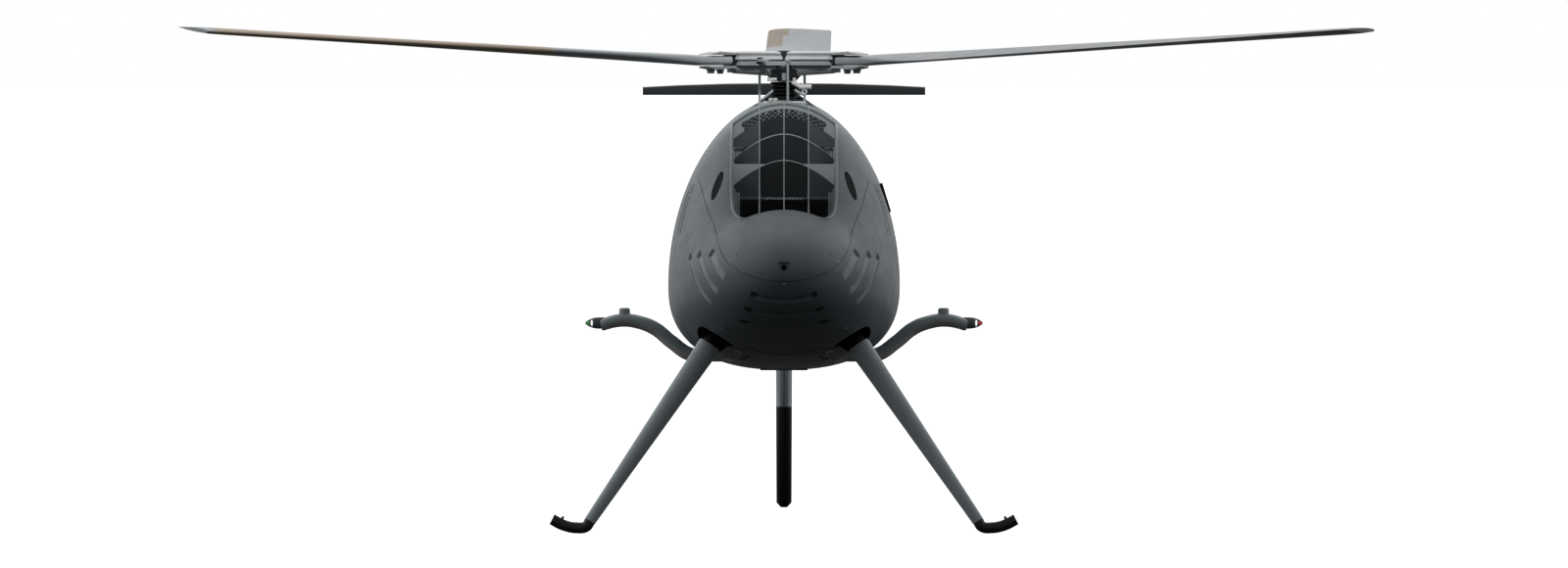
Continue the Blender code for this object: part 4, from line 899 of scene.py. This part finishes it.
def blade_ring(span, cyclic):
    """Section of a blade: from the trailing edge over the top to the leading edge and back underneath."""
    chord, thickness, leading, blend = (float(np.interp(span, BLADE_COLUMNS[0], column))
                                        for column in BLADE_COLUMNS[1:])
    shares = sorted([(1 - cos(pi * k / 28)) / 2 for k in range(29)] + [wide / chord for wide in TAPE_WIDTHS])
    pitch = radians(4.0 - 5.25 * max(0.0, span - 0.432) + cyclic)
    rise = HUB_Z + max(0.0, span - CONING_START) * tan(CONING)
    ring = []
    for over, row in ((1, shares), (-1, shares[-2:0:-1])):
        for c in row:
            c = min(1.0, c)
            wing = 0.2969 * sqrt(c) - 0.126 * c - 0.3516 * c**2 + 0.2843 * c**3 - 0.1036 * c**4
            blunt = thickness / 2 * (1 - abs(1 - 2 * c) ** (1 / 0.3)) ** 0.3
            h = over * (blunt + (max(5 * thickness * wing, 0.0004) - blunt) * blend)
            v = leading - chord * c
            ring.append((span, v * cos(pitch) - h * sin(pitch), rise + h * cos(pitch) + v * sin(pitch)))
    return ring


def taped(face):
    """Whether a blade's face lies under its tape, which has a rounded inner end."""
    span = face.center.x
    width = TAPE_WIDTHS[span > TAPE_STEP]
    if TAPE_START < span < TAPE_START + 0.015:
        width *= 0.5 + 0.5 * sqrt(1 - (1 - (span - TAPE_START) / 0.015) ** 2)
    return TAPE_START < span < TAPE_END and face.center.y > LEADING - width


def spun(azimuth):
    """Frame of the main rotor with its X turned to a direction in degrees."""
    return Matrix.Translation(at(0, 0, 0)) @ Matrix.Rotation(radians(azimuth), 4, "Z")


spans = {*BLADE_COLUMNS[0], *np.linspace(0.25, 0.48, 14), *np.linspace(0.5, 1.6, 34), 1.645}
spans = sorted(spans | {TAPE_START + 0.003 * k for k in range(6)} | {TAPE_STEP, TAPE_END})
spans = [spans[0]] + [b for a, b in zip(spans, spans[1:]) if b - a > 0.0005]
for word, (azimuth, cyclic) in BLADES.items():
    blade = loft([blade_ring(span, cyclic) for span in spans])
    # The starboard blade takes the painted-light copies.
    looks = (blade_grey_lit, tape_tan_lit) if word == "starboard" else (blade_grey, tape_tan)
    paint_faces(blade, looks, taped)
    blade.data.transform(spun(azimuth))
    fit(blade, f"blade_{word}", looks[0], f"main_blade_{word}", "blade_skin", "main_rotor", 40)

# Rotor head: a machined hub of three laminated arms on a core, with a bearing under each arm, and on
# each a forked grip bolted over the blade root. Bright anodised aluminium, with black oxide nuts and cap.
# The hub's bands, the dark of its core and the black at the grips' necks are painted light and shade.
silver = coat("hub_silver", (0.84, 0.85, 0.86), 0.38, 0.04, grain=1500, wear=0.25, gloss=0.55)
silver_shade = coat("hub_silver_painted_shade", (0.42, 0.445, 0.46), 0.42, 0.06, grain=1500, wear=0.25, gloss=0.5)
grip_grey = coat("grip_metal", (0.44, 0.475, 0.5), 0.36, 0.06, grain=1500, wear=0.3, gloss=0.6)
bearing_grey = coat("bearing_metal", (0.36, 0.395, 0.415), 0.34, 0.08, grain=1500, wear=0.3, gloss=0.6)
oxide_and_shade = coat("black_oxide_and_painted_shade", (0.022, 0.025, 0.027), 0.4, 0.1, wear=0.4)
# The hub's laminations, in painted light and shade: top of each band and the number of its look
CORE_TOP = 1.1655
HUB_BANDS = ((1.17, 1), (1.1776, 2), (1.1802, 3), (1.188, 0), (1.1906, 2), (1.1928, 3), (1.1964, 2), (9.0, 0))
builder = smoothed("rotor_hub")
for height in (CORE_TOP, *(top for top, _ in HUB_BANDS[:-1])):
    everything = builder.verts[:] + builder.edges[:] + builder.faces[:]
    bmesh.ops.bisect_plane(builder, geom=everything, plane_co=(0, 0, height), plane_no=(0, 0, 1))
hub = solid(builder)


# Painted light and shade: flat faces and bright bands silver, grooves dull silver and oxide; under the core,
# oxide near the mast and bearing grey further out.
def hub_light_and_shade(face):
    height = face.center.z
    if height < CORE_TOP:
        return 3 if hypot(face.center.x, face.center.y - MAST_Y) < 0.058 else 1
    return 0 if abs(face.normal.z) >= 0.95 else next(number for top, number in HUB_BANDS if height < top)


paint_faces(hub, (silver, bearing_grey, silver_shade, oxide_and_shade), hub_light_and_shade)
fit(hub, "hub_machined", silver, "rotor_hub", "hub_metal", "main_rotor", 30)
cap = ((0.0235, 1.2011), (0.0235, 1.2014), (0.0215, 1.202), (0.01, 1.202), (0.0085, 1.2026))
fit(loft(turned(spun(0), cap, 40)), "hub_cap_low", oxide_and_shade, "hub_cap", "hub_metal", "main_rotor", 30)
GRIP_START, GRIP_END = 0.1526, 0.229
UPPER_FORK = ((GRIP_START, 1.1912), (GRIP_START, 1.1965), (0.165, 1.1975), (0.185, 1.1995), (0.2, 1.1995),
              (GRIP_END, 1.1935), (GRIP_END, 1.1912))
LOWER_FORK = ((GRIP_START, 1.158), (GRIP_START, 1.164), (GRIP_END, 1.164), (GRIP_END, 1.1585),
              (0.205, 1.1545))
CLIP = ((-0.0225, 1.2012), (0.0225, 1.2012), (0.019, 1.1985), (0.0085, 1.1965), (0.008, 1.194),
        (0.0015, 1.179), (-0.0015, 1.179), (-0.008, 1.194), (-0.0085, 1.1965), (-0.019, 1.1985))


def nut(span, low, high, radius, sides=6):
    return cylinder((span, 0, low), (span, 0, high), radius, sides)


for word, (azimuth, _) in BLADES.items():
    fork = joined([prism(UPPER_FORK, -0.029, 0.029, "Y"), prism(LOWER_FORK, -0.029, 0.029, "Y"),
                   block((0.0805, 0.015, 1.174), (0.0975, 0.066, 1.181))])
    # Painted shade: black blocks in the gap between the hub arm and the blade root, and along the arm; the
    # small nut on top is black oxide.
    neck = joined([block((0.15, -0.0205, 1.164), (0.1638, 0.0205, 1.1912)),
                   block((0.045, -0.0195, 1.1705), (0.151, 0.0195, 1.1845)),
                   nut(0.184, 1.199, 1.2003, 0.0042)])
    nuts = joined([block((0.146, -0.011, 1.147), (0.1585, 0.011, 1.164)),
                   nut(0.184, 1.144, 1.1535, 0.0085), nut(0.211, 1.145, 1.1545, 0.0095),
                   nut(0.184, 1.15, 1.16, 0.01, 32), nut(0.211, 1.151, 1.16, 0.0108, 32)])
    clip = prism(CLIP, -0.045, -0.0405, "Y")
    fork.matrix_world = neck.matrix_world = nuts.matrix_world = spun(azimuth)
    clip.matrix_world = spun(azimuth + 150)
    fit(fork, f"grip_fork_{word}", grip_grey, f"blade_grip_{word}", "hub_metal", "main_rotor", 25, 0.0012)
    fit(neck, f"grip_neck_painted_shade_{word}", oxide_and_shade, body="main_rotor", bevel=0.0012)
    fit(nuts, f"grip_nuts_{word}", bearing_grey, body="main_rotor", bevel=0.001)
    fit(clip, f"hub_clip_{word}", oxide_and_shade, body="main_rotor", bevel=0.0005)
    cover(f"pitch_link_{word}", grip_grey, "hub_metal", "main_rotor", 0.0002, 50)

# Mast and swashplate: the moulded collar and fairing on the hood, a black rubber bellows over the mast, the
# fixed and turning plates, and the links and jacks that tilt them, of turned steel and light alloy.
cover("swashplate_fixed", silver, "hub_metal", bevel=0.001)
cover("swashplate_rotating", silver, "hub_metal", "main_rotor", 0.0008)
cover("mast_surround", paint, "dark_plastic", bevel=0.001)
# Front edge of the fairing (distance from the middle, height), and how far aft it starts and fades
FAIRING = ((0.0, 1.101), (0.027, 1.1), (0.06, 1.078), (0.094, 1.054), (0.125, 1.0285), (0.14, 1.015))
FAIRING_AFT, FAIRING_FADE = 0.088, 0.19
rings = []
for k in range(15):
    aft = FAIRING_AFT + FAIRING_FADE * k / 14
    fade = (1 + cos(pi * k / 14)) / 2
    over = []
    for x in np.linspace(-0.14, 0.14, 41):
        rise = max(0.0, np.interp(abs(x), *zip(*FAIRING)) - crown(FAIRING_AFT, x))
        over.append(at(x, aft, crown(aft, x) - 0.003 + rise * fade))
    under = [at(x, aft, crown(aft, x) - 0.008) for x in np.linspace(0.138, -0.138, 21)]
    rings.append(over + under)
fairing = loft(rings)
# Painted shade: faces that look straight ahead, on the fairing's front step, are black.
paint_faces(fairing, (paint, black), lambda face: face.normal.y < -0.9)
fit(fairing, "mast_fairing", paint, slot="body_paint", angle=40)
rim = [point + Vector((0, -0.001, -0.003)) for point in rings[0][1:40]]
bars([rim], 0.0036, "mast_fairing_rim", paint, 4)
cover("rotor_mast", steel, "hub_metal", "main_rotor")
profile = [(0.015, 1.1242)]
for k in range(5):
    z = 1.1215 - 0.0092 * k
    profile += [(0.03, z + 0.0026), (0.0335, z + 0.0016), (0.0345, z), (0.0335, z - 0.0016),
                (0.03, z - 0.0028), (0.027, z - 0.0046)]
profile += [(0.027, 1.0792), (0.015, 1.0786)]
fit(loft(turned(spun(0), profile, 48), loop=True), "mast_bellows", bumper_rubber, "mast_boot",
    "black_rubber", "main_rotor", 70)
# Links, jacks and pins: two ends, radius and metal
RODS = {
    "scissor_left": ((-0.056, -0.03, 1.079), (-0.027, -0.024, 1.102), 0.003, grip_grey),
    "scissor_right": ((0.027, -0.03, 1.1035), (0.049, -0.034, 1.0905), 0.003, grip_grey),
    "scissor_arm": ((0.02, -0.036, 1.123), (0.04, -0.036, 1.113), 0.005, silver),
    "damper_body": ((0.038, -0.036, 1.1115), (0.069, -0.036, 1.1115), 0.0062, silver),
    "damper_collar": ((0.044, -0.036, 1.1115), (0.05, -0.036, 1.1115), 0.0078, silver),
    "upper_pin": ((-0.042, -0.03, 1.13), (-0.018, -0.03, 1.13), 0.0042, silver),
    "upper_lug": ((0.025, -0.03, 1.134), (0.029, -0.03, 1.118), 0.004, silver),
    "front_fork": ((0, -0.046, 1.146), (0, -0.046, 1.128), 0.0058, bearing_grey),
    "plate_stud_0": ((-0.0335, -0.044, 1.076), (-0.0335, -0.044, 1.0835), 0.0052, bright_and_highlight),
    "plate_stud_1": ((-0.0215, -0.044, 1.076), (-0.0215, -0.044, 1.0835), 0.0052, bright_and_highlight),
}
for name, (start, end, radius, look) in RODS.items():
    fit(cylinder(at(*start), at(*end), radius, 20), name, look, body="main_rotor", bevel=0.0006)
eye = [at(0.0515 + 0.0052 * cos(a), -0.036, 1.0985 + 0.0052 * sin(a)) for a in around(24)]
bars([eye], 0.0021, "damper_eye", silver, 3, True, "main_rotor")

# Tail rotor: two blades on a yoke at the end of a short shaft from a finned gearbox on the port side.
# The gearbox is cast light alloy, and the blades are moulded and painted like the main ones.
cover("tail_gearbox", grip_grey, "hub_metal", bevel=0.0015)
cover("tail_rotor_hub", silver, "hub_metal", "tail_rotor", 0.001)
for name in ("tail_blade_front", "tail_blade_rear"):
    cover(name, blade_grey, "blade_skin", "tail_rotor", 0, 50)
fins = [[at(x, 2.06 + 0.0302 * cos(a), BOOM_Z + 0.0302 * sin(a)) for a in around(40)]
        for x in (0.04, 0.046, 0.052)]
bars(fins, 0.0016, "tail_gearbox_ribs", grip_grey, 2, True)

# Connector and hidden structure: a black power and data socket box on the port shoulder, the frame, engine
# and gearbox inside the shells, painted black or left as cast, and the belly plate; on the belly, short
# near-white bars are painted highlights and a black bar is a slit's painted shade.
plastic = coat("connector_plastic", (0.012, 0.013, 0.014), 0.5, 0.15, wear=0.3)
cover("service_connector", plastic, "dark_plastic", bevel=0.0015)
inner_black = coat("frame_black", (0.02, 0.022, 0.024), 0.5, 0.1)
for name in ("main_frame", "engine_block"):
    cover(name, inner_black, "dark_metal")
cover("gearbox", grip_grey, "hub_metal", bevel=0.001)
cover("belly_plate", paint, "body_paint", bevel=0.0004)
for side, word in SIDES:
    # Painted highlight: two short near-white bars each side; painted shade: a black bar for the slit.
    marks = [[(0.1205, 0.4565), (0.104, 0.451)], [(0.147, 0.4325), (0.129, 0.428)]]
    highlight_bars = [[skin_point(side * x, z)[0] for x, z in mark] for mark in marks]
    bars(highlight_bars, 0.0034, f"belly_highlight_{word}", bright_and_highlight)
    slit = [skin_point(side * x, z)[0] for x, z in ((0.109, 0.4322), (0.1, 0.4345), (0.09, 0.4396))]
    bars([slit], 0.0022, f"belly_slit_painted_shade_{word}", black)
edge = [skin_point(x, 0.447 + 0.016 * min(1.0, abs(x) / 0.088) ** 2)[0]
        for x in np.linspace(-0.128, 0.128, 33)]
bars([edge], 0.0008, "belly_joint", joint_rubber_and_shade)
